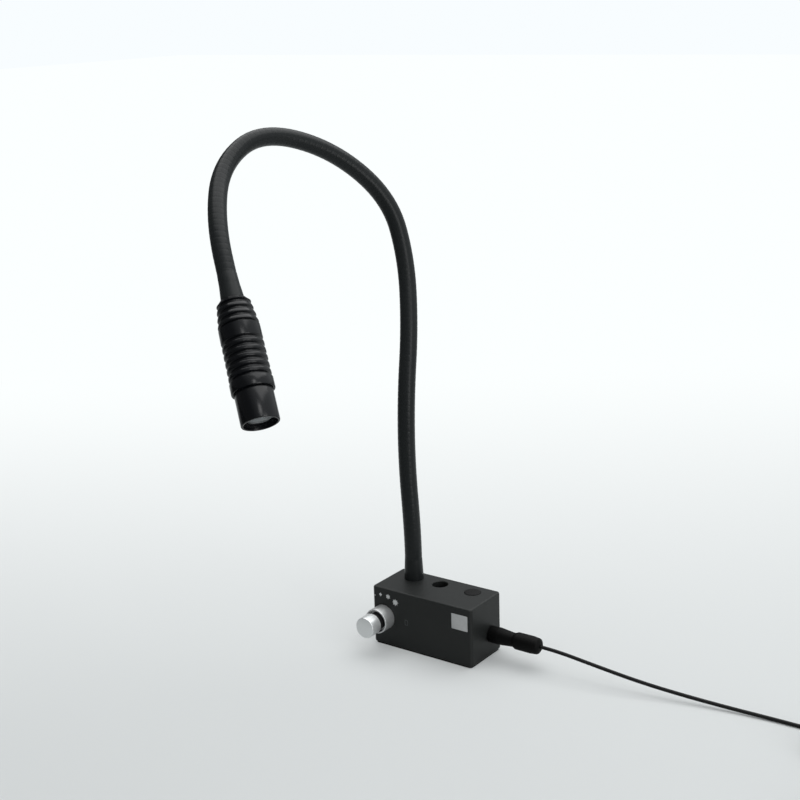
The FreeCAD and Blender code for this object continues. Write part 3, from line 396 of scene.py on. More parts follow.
@dataclass(frozen=True)
class Brushed(Finish):
    """Plain metal stock with its grain along one direction, and stains from handling."""

    along: Triple = (0.04, 1.0, 1.0)
    stain_size: float = 7.0 * MM

    def shade(self, web: ShaderWeb) -> bpy.types.Node:
        """Long scratches in the gloss and the relief, under faint stains."""
        scratches = web.noise(self.grain, 3.0, web.place(self.along))
        tone = 0.55 * scratches + 0.45 * web.noise(self.stain_size, 4.0)
        colour = web.blend(tone, self.tinted(0.78), self.tinted(1.15))
        return self.surface(web, colour, self.roughness - 0.08 + 0.16 * tone, scratches)


@dataclass(frozen=True)
class Board(Finish):
    """Lacquered circuit board with copper tracks under the lacquer."""

    pitch: float = 1.9 * MM
    track: Colour = (0.03, 0.17, 0.06)
    pad: Colour = (0.55, 0.50, 0.36)

    def shade(self, web: ShaderWeb) -> bpy.types.Node:
        """Tracks that step between rows, raised a little, with tinned pads on a grid."""
        along, across = web.along("X"), web.along("Z")
        step = web.noise(9.0 * MM, 0.0) > 0.5
        turns = FULL_TURN / self.pitch
        tracks = ((across + step * self.pitch / 2.0) * turns).wave() > 0.45
        pads = ((along * turns).wave() > 0.86) * ((across * turns).wave() > 0.86)
        ground = web.blend(web.noise(3.0 * MM, 3.0), self.tinted(0.8), self.colour)
        colour = web.blend(pads, web.blend(tracks, ground, self.track), self.pad)
        roughness = self.roughness + 0.1 * web.noise(2.0 * MM)
        return self.surface(web, colour, roughness, tracks + pads, {"Metallic": 0.9 * pads})


@dataclass(frozen=True)
class Turned(Finish):
    """Metal from a lathe, with fine lines round its own axis."""

    line: float = 0.12 * MM
    cloud_size: float = 6.0 * MM

    def shade(self, web: ShaderWeb) -> bpy.types.Node:
        """Lines that follow the profile, from the piece's UV map in metres."""
        seat = web.node("ShaderNodeUVMap", uv_map=TURNED_MAP).outputs["UV"]
        inputs = {"W": web.along("Y", seat) * (1.0 / self.line), "Scale": 1.0, "Detail": 2.0}
        lines = web.signal("ShaderNodeTexNoise", inputs, noise_dimensions="1D")
        tone = 0.6 * lines + 0.4 * web.noise(self.cloud_size, 3.0)
        colour = web.blend(tone, self.tinted(0.84), self.tinted(1.12))
        return self.surface(web, colour, self.roughness - 0.07 + 0.14 * tone, lines)


@dataclass(frozen=True)
class Glass(Finish):
    """Moulded glass or acrylic, clear or frosted."""

    clearness: float = 0.92
    index: float = 1.5

    def shade(self, web: ShaderWeb) -> bpy.types.Node:
        """See-through, with a trace of waviness and of dust."""
        dust = web.noise(0.8 * MM, 3.0)
        colour = web.blend(dust, self.tinted(0.86), self.colour)
        others = {"Transmission Weight": self.clearness, "IOR": self.index}
        roughness = self.roughness + 0.06 * dust
        return self.surface(web, colour, roughness, web.noise(3.0 * MM), others)


@dataclass(frozen=True)
class Sleeve(Finish):
    """Shrunk black sleeve: satin, with dull patches where the neck is held."""

    held_patch: float = 22.0 * MM
    scuff_size: float = 1.6 * MM

    def shade(self, web: ShaderWeb) -> bpy.types.Node:
        """Fine pits, scuffs and long soft changes of gloss."""
        scuff = (web.noise(self.scuff_size, 4.0) - 0.62).clipped() * 1.5
        colour = web.blend(scuff, self.colour, self.tinted(1.5, 0.002))
        gloss = 0.1 * web.noise(self.held_patch, 3.0) + 0.2 * scuff
        return self.surface(web, colour, self.roughness - 0.05 + gloss, web.noise(self.grain))


POWDER_COAT = Coated(
    "powder_coat", (0.0150, 0.0165, 0.0160), 0.46, grain=0.2 * MM, depth=0.03 * MM, specular=0.26
)
SATIN_SLEEVE = Sleeve(
    "satin_sleeve", (0.0155, 0.0175, 0.0180), 0.3, grain=0.35 * MM, depth=0.006 * MM, specular=0.17
)
WOUND_STEEL = Finish("wound_steel", (0.46, 0.46, 0.45), 0.32, 1.0, depth=0.01 * MM)
CLEAR_FIBRE = Glass("clear_fibre", (0.80, 0.82, 0.80), 0.2, depth=0.01 * MM, clearness=0.7)
BLACK_ANODISED = Turned(
    "black_anodised", (0.0036, 0.0041, 0.0052), 0.2, depth=0.004 * MM, specular=0.34
)
BLACK_TURNED = Turned(
    "black_turned", (0.02, 0.02, 0.022), 0.4, 0.5, depth=0.008 * MM, specular=0.3
)
BRIGHT_ALUMINIUM = Turned("bright_aluminium", (0.84, 0.86, 0.86), 0.36, 0.65, depth=0.006 * MM)
SATIN_SILVER = Turned("satin_silver", (0.66, 0.67, 0.67), 0.4, 0.75, depth=0.006 * MM)
DARK_HUB = Turned("dark_hub", (0.014, 0.014, 0.015), 0.4, depth=0.01 * MM, specular=0.3)
BLACK_RUBBER = Finish(
    "black_rubber", (0.006, 0.006, 0.006), 0.6, grain=0.35 * MM, depth=0.03 * MM, specular=0.15
)
PLUG_PLASTIC = Finish("moulded_black", (0.003, 0.003, 0.003), 0.55, specular=0.1)
LEAD_JACKET = Finish(
    "cord_jacket", (0.007, 0.007, 0.007), 0.45, grain=0.4 * MM, depth=0.01 * MM, specular=0.2
)
CASE_PLASTIC = Finish("black_case", (0.014, 0.014, 0.016), 0.48)
PLATED_STEEL = Brushed(
    "zinc_plate", (0.52, 0.53, 0.55), 0.34, 1.0, grain=0.5 * MM, depth=0.01 * MM
)
SHAFT_STEEL = Brushed(
    "ground_steel", (0.58, 0.58, 0.58), 0.26, 1.0, 0.4 * MM, 0.01 * MM, along=(1.0, 0.04, 1.0)
)
BLACK_STEEL = Finish("oiled_steel", (0.02, 0.02, 0.021), 0.4, 0.5, depth=0.01 * MM)
MILLED_ALUMINIUM = Brushed(
    "milled_aluminium", (0.66, 0.67, 0.68), 0.36, 1.0, grain=0.4 * MM, depth=0.01 * MM
)
BOARD_GREEN = Board("board_lacquer", (0.012, 0.09, 0.035), 0.35, depth=0.03 * MM)
CHIP_BLACK = Finish("chip_black", (0.02, 0.02, 0.022), 0.5)
LAMP_WHITE = Finish("white_lacquer", (0.72, 0.73, 0.73), 0.5, depth=0.01 * MM)
PHOSPHOR = Finish("yellow_phosphor", (0.85, 0.68, 0.12), 0.55, grain=0.2 * MM)
CONTACT_METAL = Brushed("nickel_contact", (0.62, 0.60, 0.55), 0.28, 1.0, depth=0.01 * MM)
LENS_GLASS = Glass("lens_glass", (0.95, 0.96, 0.97), 0.04, depth=0.01 * MM)
FROSTED_GLASS = Glass(
    "frosted_glass", (0.50, 0.54, 0.55), 0.3, depth=0.01 * MM, clearness=0.8
)
PRINT_GREY = Finish(
    "grey_print", (0.41, 0.415, 0.415), 0.55, grain=0.15 * MM, depth=0.01 * MM
)
MARK_WHITE = Finish("white_print", (0.50, 0.51, 0.51), 0.55, grain=0.15 * MM, depth=0.01 * MM)
FAINT_PRINT = Finish("faint_print", (0.045, 0.05, 0.05), grain=0.15 * MM, depth=0.01 * MM)


def placed(name: str, data: bpy.types.ID) -> bpy.types.Object:
    """A new object of some data, in the scene."""
    piece = bpy.data.objects.new(name, data)
    bpy.context.scene.collection.objects.link(piece)
    return piece


def as_mesh(shape: bmesh.types.BMesh, name: str) -> bpy.types.Mesh:
    """A new mesh of a shape, the shape being freed."""
    mesh = bpy.data.meshes.new(name)
    shape.to_mesh(mesh)
    shape.free()
    return mesh


def outward(shape: bmesh.types.BMesh) -> None:
    """Faces a closed shape's skin outwards."""
    bmesh.ops.recalc_face_normals(shape, faces=shape.faces)
    if shape.calc_volume(signed=True) < 0.0:
        bmesh.ops.reverse_faces(shape, faces=shape.faces)


def evaluated(piece: bpy.types.Object) -> bpy.types.Mesh:
    """The plain mesh of an object with its modifiers applied, the object being removed."""
    bpy.context.view_layer.update()
    seen = piece.evaluated_get(bpy.context.evaluated_depsgraph_get())
    mesh = bpy.data.meshes.new_from_object(seen)
    bpy.data.objects.remove(piece)
    return mesh


def finished(mesh: bpy.types.Mesh, name: str, finish: Finish) -> bpy.types.Object:
    """Turns a mesh into a named object with smooth faces, crisp edges and a finish.

    Args:
        mesh: The piece's mesh, with its place in it.
        name: The piece's name.
        finish: The material to dress it in.

    Returns:
        The object, in the scene.
    """
    mesh.name = name
    mesh.shade_smooth()
    mesh.set_sharp_from_angle(angle=SHARP_ANGLE)
    mesh.materials.clear()
    mesh.materials.append(finish.material())
    return placed(name, mesh)


def evened(mesh: bpy.types.Mesh, name: str, finish: Finish) -> bpy.types.Object:
    """A finished piece whose large flats keep an even shade beside their rounded edges."""
    piece = finished(mesh, name, finish)
    even = piece.modifiers.new("even", "WEIGHTED_NORMAL")
    even.keep_sharp = True
    even.weight = 100
    mesh = evaluated(piece)
    mesh.name = name
    return placed(name, mesh)


def round_corners(outline: Sequence[Sequence[float]], steps: int = 4) -> list[Vector]:
    """Rounds the corners of a flat outline.

    Args:
        outline: Its corners as two numbers, and a third for a corner's radius.
        steps: How many edges each rounding has.

    Returns:
        The rounded outline's points.
    """
    points = []
    for i, corner in enumerate(outline):
        here = Vector(corner[:2])
        radius = corner[2] if len(corner) > 2 else 0.0
        to_last = Vector(outline[i - 1][:2]) - here
        to_next = Vector(outline[(i + 1) % len(outline)][:2]) - here
        if radius <= 0.0:
            points.append(here)
            continue
        half = to_last.angle(to_next) / 2.0
        reach = min(radius / math.tan(half), 0.49 * to_last.length, 0.49 * to_next.length)
        radius = reach * math.tan(half)
        inward = (to_last.normalized() + to_next.normalized()).normalized()
        middle = here + inward * (radius / math.sin(half))
        start = here + to_last.normalized() * reach - middle
        sweep = start.angle_signed(here + to_next.normalized() * reach - middle)
        for step in range(steps + 1):
            points.append(middle + Matrix.Rotation(-sweep * step / steps, 2) @ start)
    return points


def lathe_mesh(
    outline: Sequence[Sequence[float]],
    origin: Triple | Vector,
    axis: Triple | Vector = Axis.UP.value,
    sides: int = 64,
    ring: bool = False,
    steps: int = 4,
) -> bpy.types.Mesh:
    """Turns an outline of radius and height about an axis.

    Args:
        outline: Radius and height, and a corner's radius, anticlockwise.
        origin: Where the axis starts.
        axis: Its direction.
        sides: Faces round the axis.
        ring: Whether the outline closes on itself, clear of the axis.
        steps: Edges in each rounded corner.

    Returns:
        The mesh, with a UV map of turn and length in metres.
    """
    profile = round_corners(outline, steps)
    turn = Vector(Axis.UP.value).rotation_difference(Vector(axis)).to_matrix()
    start = Vector(origin)
    shape = bmesh.new()
    rows = []
    for radius, height in profile:
        if radius < ON_AXIS:
            rows.append([shape.verts.new(start + turn @ Vector((0.0, 0.0, height)))] * sides)
            continue
        row = []
        for side in range(sides):
            angle = FULL_TURN * side / sides
            spot = Vector((radius * math.cos(angle), radius * math.sin(angle), height))
            row.append(shape.verts.new(start + turn @ spot))
        rows.append(row)
    lengths = [0.0]
    for near, far in zip(profile, profile[1:] + profile[:1]):
        lengths.append(lengths[-1] + (far - near).length)
    layer = shape.loops.layers.uv.new(TURNED_MAP)
    for i in range(len(profile) if ring else len(profile) - 1):
        low, high = rows[i], rows[(i + 1) % len(rows)]
        for side in range(sides):
            after = (side + 1) % sides
            loop = [(low[side], side, i), (low[after], side + 1, i)]
            loop += [(high[after], side + 1, i + 1), (high[side], side, i + 1)]
            kept = [entry for n, entry in enumerate(loop) if entry[0] is not loop[n - 1][0]]
            if len(kept) < 3:
                continue
            face = shape.faces.new([vertex for vertex, _, _ in kept])
            for corner, (_, turned, row) in zip(face.loops, kept):
                corner[layer].uv = (turned / sides, lengths[row])
    outward(shape)
    return as_mesh(shape, "turned")


@dataclass(frozen=True)
class Spindle:
    """An axis that pieces are turned on."""

    origin: Triple | Vector
    axis: Triple | Vector = Axis.UP.value
    sides: int = 64
    steps: int = 4

    def turned(
        self, outline: Outline, name: str, finish: Finish, ring: bool = False
    ) -> bpy.types.Object:
        """Turns one piece.

        Args:
            outline: Radius, height and a corner's radius, in millimetres.
            name: The piece's name.
            finish: Its finish.
            ring: Whether its outline closes clear of the axis.

        Returns:
            The finished piece.
        """
        scaled = [tuple(value * MM for value in corner) for corner in outline]
        mesh = lathe_mesh(scaled, self.origin, self.axis, self.sides, ring, self.steps)
        return finished(mesh, name, finish)

    def fitted(
        self,
        outline: Outline,
        name: str,
        finish: Finish,
        slot: str,
        node: str,
        body: str = ROOT,
        ring: bool = False,
    ) -> bpy.types.Object:
        """Turns one piece and sets it in place of a node."""
        return settle(self.turned(outline, name, finish, ring), slot, node, body=body)


def ring_of(
    width: float, depth: float, radius: float, height: float, steps: int = 5
) -> list[Vector]:
    """Points round a rounded rectangle at a height."""
    x, y = width / 2.0, depth / 2.0
    corners = [(x, y, radius), (-x, y, radius), (-x, -y, radius), (x, -y, radius)]
    return [Vector((*point, height)) for point in round_corners(corners, steps)]


def loft_mesh(
    rings: Sequence[Sequence[Vector]], place: Matrix | None = None, closed: bool = False
) -> bpy.types.Mesh:
    """Joins rings of equal count into a closed skin.

    Args:
        rings: The rings, in order.
        place: Where the skin is set.
        closed: Whether the last ring joins the first, instead of a cap at each end.

    Returns:
        The mesh.
    """
    shape = bmesh.new()
    rows = [[shape.verts.new(point) for point in points] for points in rings]
    for low, high in zip(rows, rows[1:] + rows[:1] if closed else rows[1:]):
        for i in range(len(low)):
            after = (i + 1) % len(low)
            shape.faces.new((low[i], low[after], high[after], high[i]))
    if not closed:
        shape.faces.new(rows[0])
        shape.faces.new(rows[-1])
    outward(shape)
    if place is not None:
        shape.transform(place)
    return as_mesh(shape, "loft")


def rounded_block(
    width: float,
    depth: float,
    low: float,
    high: float,
    corner: float,
    edge: float,
    steps: int = 4,
) -> list[list[Vector]]:
    """Rings of a block with rounded corners and softened top and bottom edges.

    Args:
        width: Its size along x.
        depth: Its size along y.
        low: The height of its underside.
        high: The height of its top.
        corner: The radius of its upright corners.
        edge: The radius of its top and bottom edges.
        steps: Edges in each softened edge.

    Returns:
        The rings, from the underside up.
    """
    least = 0.2 * MM
    rings = []
    for upper in (False, True):
        for step in range(steps + 1):
            angle = math.pi / 2.0 * (step / steps if upper else 1.0 - step / steps)
            inset = edge * (1.0 - math.cos(angle))
            rise = edge * (1.0 - math.sin(angle))
            size = width - 2.0 * inset, depth - 2.0 * inset
            radius = max(corner - inset, least)
            rings.append(ring_of(*size, radius, high - rise if upper else low + rise))
    return rings


def merged(meshes: Iterable[bpy.types.Mesh]) -> bpy.types.Mesh:
    """Several meshes as one."""
    shape = bmesh.new()
    for mesh in meshes:
        shape.from_mesh(mesh)
    return as_mesh(shape, "merged")


def cut(mesh: bpy.types.Mesh, cutters: Iterable[bpy.types.Mesh]) -> bpy.types.Mesh:
    """Takes shapes out of a mesh.

    Args:
        mesh: The mesh to cut.
        cutters: The shapes to take out, clear of each other.

    Returns:
        The mesh that is left.
    """
    body = placed("cut_body", mesh)
    tool = placed("cut_tool", merged(cutters))
    carve = body.modifiers.new("carve", "BOOLEAN")
    carve.operation = "DIFFERENCE"
    carve.solver = "EXACT"
    carve.object = tool
    left = evaluated(body)
    bpy.data.objects.remove(tool)
    return left


def smooth_line(name: str, points: Iterable[Sequence[float]], steps: int) -> bpy.types.Object:
    """A smooth curve along control points.

    Args:
        name: The curve's name.
        points: Its control points, in metres.
        steps: Edges for each of them.

    Returns:
        The curve's object.
    """
    points = list(points)
    curve = bpy.data.curves.new(name, "CURVE")
    curve.dimensions = "3D"
    curve.resolution_u = steps
    spline = curve.splines.new("NURBS")
    spline.points.add(len(points) - 1)
    for spot, point in zip(spline.points, points):
        spot.co = (*point, 1.0)
    spline.order_u = 3
    spline.use_endpoint_u = True
    spline.use_smooth = True
    return placed(name, curve)


def through_tree(
    piece: bpy.types.Object,
    tree: bpy.types.NodeTree,
    name: str,
    finish: Finish,
    sizes: dict[str, float],
) -> bpy.types.Object:
    """Runs an object through a Geometry Nodes tree.

    Args:
        piece: The object that the tree starts from, which is used up.
        tree: The tree.
        name: The name of the piece that it makes.
        finish: That piece's finish.
        sizes: The tree's inputs by name.

    Returns:
        The finished piece, with a plain mesh.
    """
    modifier = piece.modifiers.new("tree", "NODES")
    modifier.node_group = tree
    values = sizes | {"Finish": finish.material()}
    for item in tree.interface.items_tree:
        if item.in_out == "INPUT" and item.name in values:
            modifier[item.identifier] = values[item.name]
    mesh = evaluated(piece)
    shape = bmesh.new()
    shape.from_mesh(mesh)
    outward(shape)
    shape.to_mesh(mesh)
    shape.free()
    return finished(mesh, name, finish)


def settle(
    piece: bpy.types.Object, slot: str, *nodes: str, body: str | None = ROOT
) -> bpy.types.Object:
    """Hides the nodes that a piece stands for, sets it on its body and logs it.

    Args:
        piece: The finished piece.
        slot: The slot of its finish, which is only logged.
        *nodes: The nodes that it stands for.
        body: The body that it rides on, or none to leave it unattached.

    Returns:
        The piece.
    """
    if nodes:
        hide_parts(*nodes)
    if body is not None:
        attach(piece, body)
    log.info("%s: slot %s, stands for %s", piece.name, slot, ", ".join(nodes) or "nothing")
    return piece


@dataclass
class LightBox:
    """The metal box with its ports, foot, screws and front marks."""

    width: float = 65.0 * MM
    depth: float = 30.0 * MM
    height: float = 34.0 * MM
    corner: float = 2.0 * MM
    edge: float = 1.0 * MM
    wall: float = 2.5 * MM
    top_wall: float = 3.0 * MM
    pad: float = 0.8 * MM
    pad_inset: float = 0.6 * MM
    port_radius: float = 4.4 * MM
    port_y: float = 6.2 * MM
    neck_x: float = -19.0 * MM
    open_x: float = -1.5 * MM
    capped_x: float = 20.0 * MM
    bush_x: float = -24.9 * MM
    bush_z: float = 17.2 * MM
    bush_hole: float = 3.6 * MM
    jack_y: float = 4.3 * MM
    jack_z: float = 13.3 * MM
    jack_hole: float = 4.08 * MM
    screw_x: float = 27.7 * MM
    screw_y: float = 10.2 * MM
    screw_hole: float = 2.3 * MM
    screw_sink: float = 0.1 * MM
    post: float = 4.6 * MM
    post_low: float = 6.8 * MM
    post_high: float = 11.0 * MM
    boss: float = 2.0 * MM
    boss_margin: float = 3.5 * MM
    root: float = 0.2 * MM
    print_low: float = -0.35 * MM
    print_high: float = 0.05 * MM
    mark_radius: float = 12.9 * MM
    mark_sizes: tuple[float, ...] = (1.0 * MM, 2.3 * MM, 3.2 * MM, 4.1 * MM)
    mark_angles: tuple[float, ...] = (-27.5, -9.0, 14.0, 38.0)
    mark_points: tuple[int, ...] = (4, 4, 6, 8)
    mark_waist: float = 0.6
    patch_size: tuple[float, float] = (10.2 * MM, 8.8 * MM)
    patch_seat: tuple[float, float] = (25.2 * MM, 25.6 * MM)
    sign_size: tuple[float, float] = (2.0 * MM, 3.2 * MM)
    sign_line: float = 0.3 * MM
    sign_seat: tuple[float, float] = (-9.9 * MM, 17.0 * MM)

    def build(self) -> None:
        """Makes every piece of the box and sets each in place."""
        self.build_shell()
        self.build_foot()
        self.build_cap()
        self.build_tube()
        self.build_marks()
        self.build_prints()
        self.build_screws()

    def build_shell(self) -> None:
        """The box, open below, with holes for the ports, the bush and the jack."""
        outer = rounded_block(
            self.width, self.depth, self.pad, self.height, self.corner, self.edge, 6
        )
        room = self.width - 2 * self.wall, self.depth - 2 * self.wall
        inner = [
            ring_of(*room, 0.5 * MM, height) for height in (self.pad, self.height - self.top_wall)
        ]
        front = (self.bush_x, -self.depth / 2, self.bush_z)
        right = (self.width / 2, self.jack_y, self.jack_z)
        cutters = [
            self.hole((x, self.port_y, self.height), Axis.UP, self.port_radius, 0.35 * MM)
            for x in (self.neck_x, self.open_x, self.capped_x)
        ]
        cutters.append(self.hole(front, Axis.FRONT, self.bush_hole, 0.1 * MM))
        cutters.append(self.hole(right, Axis.RIGHT, self.jack_hole, 0.25 * MM))
        whole = merged([cut(loft_mesh(outer[::-1] + inner), cutters), *self.build_posts()])
        settle(evened(whole, "box_shell", POWDER_COAT), "black_coat", "housing")

    def build_posts(self) -> list[bpy.types.Mesh]:
        """The posts of the base screws and the board's two bosses, rooted in the walls.

        Returns:
            Their meshes.
        """
        side = self.post + self.root
        block = rounded_block(side, side, self.post_low, self.post_high, 0.3 * MM, 0.1 * MM, 1)
        out = self.root / 2
        posts = [
            loft_mesh(
                block,
                Matrix.Translation((x * (self.screw_x + out), y * (self.screw_y + out), 0.0)),
            )
            for x in (-1.0, 1.0)
            for y in (-1.0, 1.0)
        ]
        low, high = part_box("circuit_board")
        reach = self.depth / 2 - self.wall + self.root + low.y
        rod = [(0.0, 0.0), (self.boss, 0.0), (self.boss, reach), (0.0, reach)]
        for x in (low.x + self.boss_margin, high.x - self.boss_margin):
            middle = (x, low.y, (low.z + high.z) / 2)
            posts.append(lathe_mesh(rod, middle, Axis.FRONT.value, 32))
        return posts

    def hole(self, mouth: Triple, axis: Axis, radius: float, bevel: float) -> bpy.types.Mesh:
        """A cutter for a round hole with a broken edge at its mouth."""
        depth, out = self.top_wall + 1.5 * MM, 1.0 * MM
        outline = [(0.0, -depth), (radius, -depth), (radius, -bevel), (radius + bevel, 0.0)]
        outline += [(radius + bevel, out), (0.0, out)]
        return lathe_mesh(outline, mouth, axis.value)

    def build_foot(self) -> None:
        """The thin rubber pad under the box, with a hole for each screw's head."""
        width, depth = self.width - 2 * self.pad_inset, self.depth - 2 * self.pad_inset
        rings = rounded_block(width, depth, 0.0, self.pad, self.corner, 0.2 * MM, 3)
        low, high, radius = -1.0 * MM, self.pad + 1.0 * MM, self.screw_hole
        rod = [(0.0, low), (radius, low), (radius, high), (0.0, high)]
        holes = [
            lathe_mesh(rod, (x, y, 0.0), sides=40)
            for x in (-self.screw_x, self.screw_x)
            for y in (-self.screw_y, self.screw_y)
        ]
        foot = evened(cut(loft_mesh(rings), holes), "foot_sheet", BLACK_RUBBER)
        settle(foot, "foot_rubber", "foot_pad")

    def build_cap(self) -> None:
        """The low dome that blanks the third port."""
        head, stem, lip, inner, rise = 4.6, 4.25, 4.75, 3.05, 0.7
        outline = [(0.0, -1.2), (inner, -1.2), (inner, -4.35), (stem, -4.35, 0.1)]
        outline += [(lip, -3.15, 0.1), (stem, -3.15), (stem, 0.0), (head, 0.0)]
        for angle in map(math.radians, (8, 18, 30, 42, 54, 66, 78)):
            outline.append((head * math.cos(angle), rise * math.sin(angle) ** 0.8))
        outline.append((0.0, rise))
        spindle = Spindle((self.capped_x, self.port_y, self.height))
        spindle.fitted(outline, "blanking_plug", BLACK_RUBBER, "foot_rubber", "port_cap")

    def build_tube(self) -> None:
        """The blind tube under the open port."""
        low, floor, high = 17.0, 18.5, 31.0
        outer, bore = 5.8, self.port_radius / MM
        outline = [(0.0, low), (outer, low, 0.3), (outer, high), (bore, high)]
        outline += [(bore, floor, 0.3), (0.0, floor)]
        spindle = Spindle((self.open_x, self.port_y, 0.0), sides=72)
        spindle.fitted(outline, "open_port_tube", BLACK_TURNED, "black_metal", "spare_port_tube")

    def on_front(self, x: float, z: float) -> Matrix:
        """The place of a mark on the box's front."""
        return Matrix.Translation((x, -self.depth / 2, z)) @ STANDING

    def build_marks(self) -> None:
        """The row of growing marks round the knob."""
        bursts = []
        for degrees, size, points in zip(self.mark_angles, self.mark_sizes, self.mark_points):
            turn = math.radians(degrees)
            x = self.bush_x + self.mark_radius * math.sin(turn)
            z = self.bush_z + self.mark_radius * math.cos(turn)
            rings = [
                self.burst(size / 2, points, height)
                for height in (self.print_low, self.print_high)
            ]
            bursts.append(loft_mesh(rings, self.on_front(x, z)))
        settle(finished(merged(bursts), "dial_marks", MARK_WHITE), "lamp_white")

    def burst(self, radius: float, points: int, height: float) -> list[Vector]:
        """The outline of a small mark with points, at a height."""
        outline = []
        for i in range(points * 2):
            reach = radius * (1.0 if i % 2 == 0 else self.mark_waist)
            turn = math.pi * i / points
            outline.append(Vector((reach * math.sin(turn), reach * math.cos(turn), height)))
        return outline

    def build_prints(self) -> None:
        """A plain patch and a small outlined mark, thin on the front."""
        low, high = self.print_low, self.print_high
        patch = rounded_block(*self.patch_size, low, high, 0.3 * MM, 0.03 * MM, 2)
        patch_mesh = loft_mesh(patch, self.on_front(*self.patch_seat))
        settle(finished(patch_mesh, "front_patch", PRINT_GREY), "lamp_white")
        width, depth = self.sign_size
        inner = width - 2 * self.sign_line, depth - 2 * self.sign_line
        rings = [ring_of(width, depth, 0.2 * MM, height, 2) for height in (low, high)]
        rings += [ring_of(*inner, 0.1 * MM, height, 2) for height in (high, low)]
        outline = loft_mesh(rings, self.on_front(*self.sign_seat), closed=True)
        settle(finished(outline, "outlined_mark", FAINT_PRINT), "lamp_white")

    def build_screws(self) -> None:
        """The four socket screws of the base plate: one turned screw, repeated on a grid."""
        head, shank, key, top, end = 2.2, 1.25, 0.75, 1.9, 8.5
        outline = [(0.0, 0.95), (key, 0.95), (key, 0.0, 0.05), (head, 0.0, 0.25), (head, top)]
        outline += [(shank, top), (shank, end - 0.4), (0.8 * shank, end), (0.0, end)]
        name = "base_screw_set"
        spindle = Spindle((0.0, 0.0, self.pad + self.screw_sink), sides=48)
        screw = spindle.turned(outline, name, BLACK_STEEL)
        sizes = {"Across": 2.0 * self.screw_x, "Along": 2.0 * self.screw_y, "Columns": 2, "Rows": 2}
        screws = through_tree(screw, self.grid_tree(), name, BLACK_STEEL, sizes)
        settle(screws, "black_screws", "base_screws")

    @staticmethod
    def grid_tree() -> bpy.types.NodeTree:
        """The tree that repeats a piece on the corners of a grid in the piece's own plane."""
        kinds = dict.fromkeys(("Across", "Along"), "NodeSocketFloat")
        kinds |= dict.fromkeys(("Columns", "Rows"), "NodeSocketInt")
        web = GeometryWeb("repeated_on_grid", kinds | {"Finish": "NodeSocketMaterial"})
        given = web.given
        inputs = {
            "Size X": given["Across"],
            "Size Y": given["Along"],
            "Vertices X": given["Columns"],
            "Vertices Y": given["Rows"],
        }
        grid = web.signal("GeometryNodeMeshGrid", inputs)
        inputs = {"Points": grid, "Instance": given["Geometry"]}
        web.close(web.signal("GeometryNodeInstanceOnPoints", inputs))
        return web.tree


@dataclass
class Dial:
    """The collar, the hub and the metal cap of the dimmer's knob."""

    x: float = -24.9 * MM
    z: float = 17.2 * MM
    face: float = 15.0 * MM
    sides: int = 96
    body: str = "dimmer_knob"

    def build(self) -> None:
        """Makes the three turned pieces and sets each in place."""
        spindle = Spindle((self.x, -self.face, self.z), Axis.FRONT.value, self.sides)
        collar = [(3.5, 0.0), (7.0, 0.0, 0.15), (7.0, 8.1, 0.5)]
        collar += [(6.1, 8.1, 0.3), (6.1, 4.6, 0.4), (3.5, 4.6)]
        looks = SATIN_SILVER, "collar_silver", "knob_collar"
        spindle.fitted(collar, "knob_ring", *looks, ring=True)
        hub = [(0.0, 14.5), (2.0, 14.5), (2.0, 5.7), (4.9, 5.7, 0.3), (4.9, 16.4), (0.0, 16.4)]
        spindle.fitted(hub, "knob_core", DARK_HUB, "case_plastic", "knob_hub", self.body)
        cap = [(0.0, 16.4), (4.9, 16.4), (4.9, 10.9), (5.8, 10.9, 0.2), (5.8, 18.3, 0.5)]
        cap.append((0.0, 18.3))
        looks = BRIGHT_ALUMINIUM, "knob_aluminium", "knob_cap"
        spindle.fitted(cap, "knob_shell", *looks, self.body)


@dataclass
class Plug:
    """The plug at the box's right wall: a tapered front shell and a flared grip."""

    y: float = 4.3 * MM
    z: float = 13.3 * MM
    wall: float = 32.5 * MM

    def build(self) -> list[bpy.types.Object]:
        """Makes the plug's two mouldings and sets each in place.

        Returns:
            The pieces on the lead.
        """
        shell = [(0.0, 2.675), (2.75, 2.675), (2.75, 0.3), (4.6, 0.3, 0.35)]
        shell += [(4.7, 5.8, 3.0), (3.85, 14.3), (0.0, 14.3)]
        grip = [(0.0, 14.3), (3.85, 14.3), (3.85, 15.2, 0.5), (4.7, 17.0, 0.8)]
        grip += [(4.75, 26.0, 2.0), (4.3, 30.2, 1.3), (2.4, 31.3, 0.4), (0.0, 31.3)]
        spindle = Spindle((self.wall, self.y, self.z), Axis.RIGHT.value)
        looks = PLUG_PLASTIC, "plug_plastic"
        front = spindle.fitted(shell, "plug_front", *looks, "plug_shell")
        handle = spindle.fitted(grip, "plug_handle", *looks, "plug_grip")
        return [front, handle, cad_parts["plug_barrel"]]


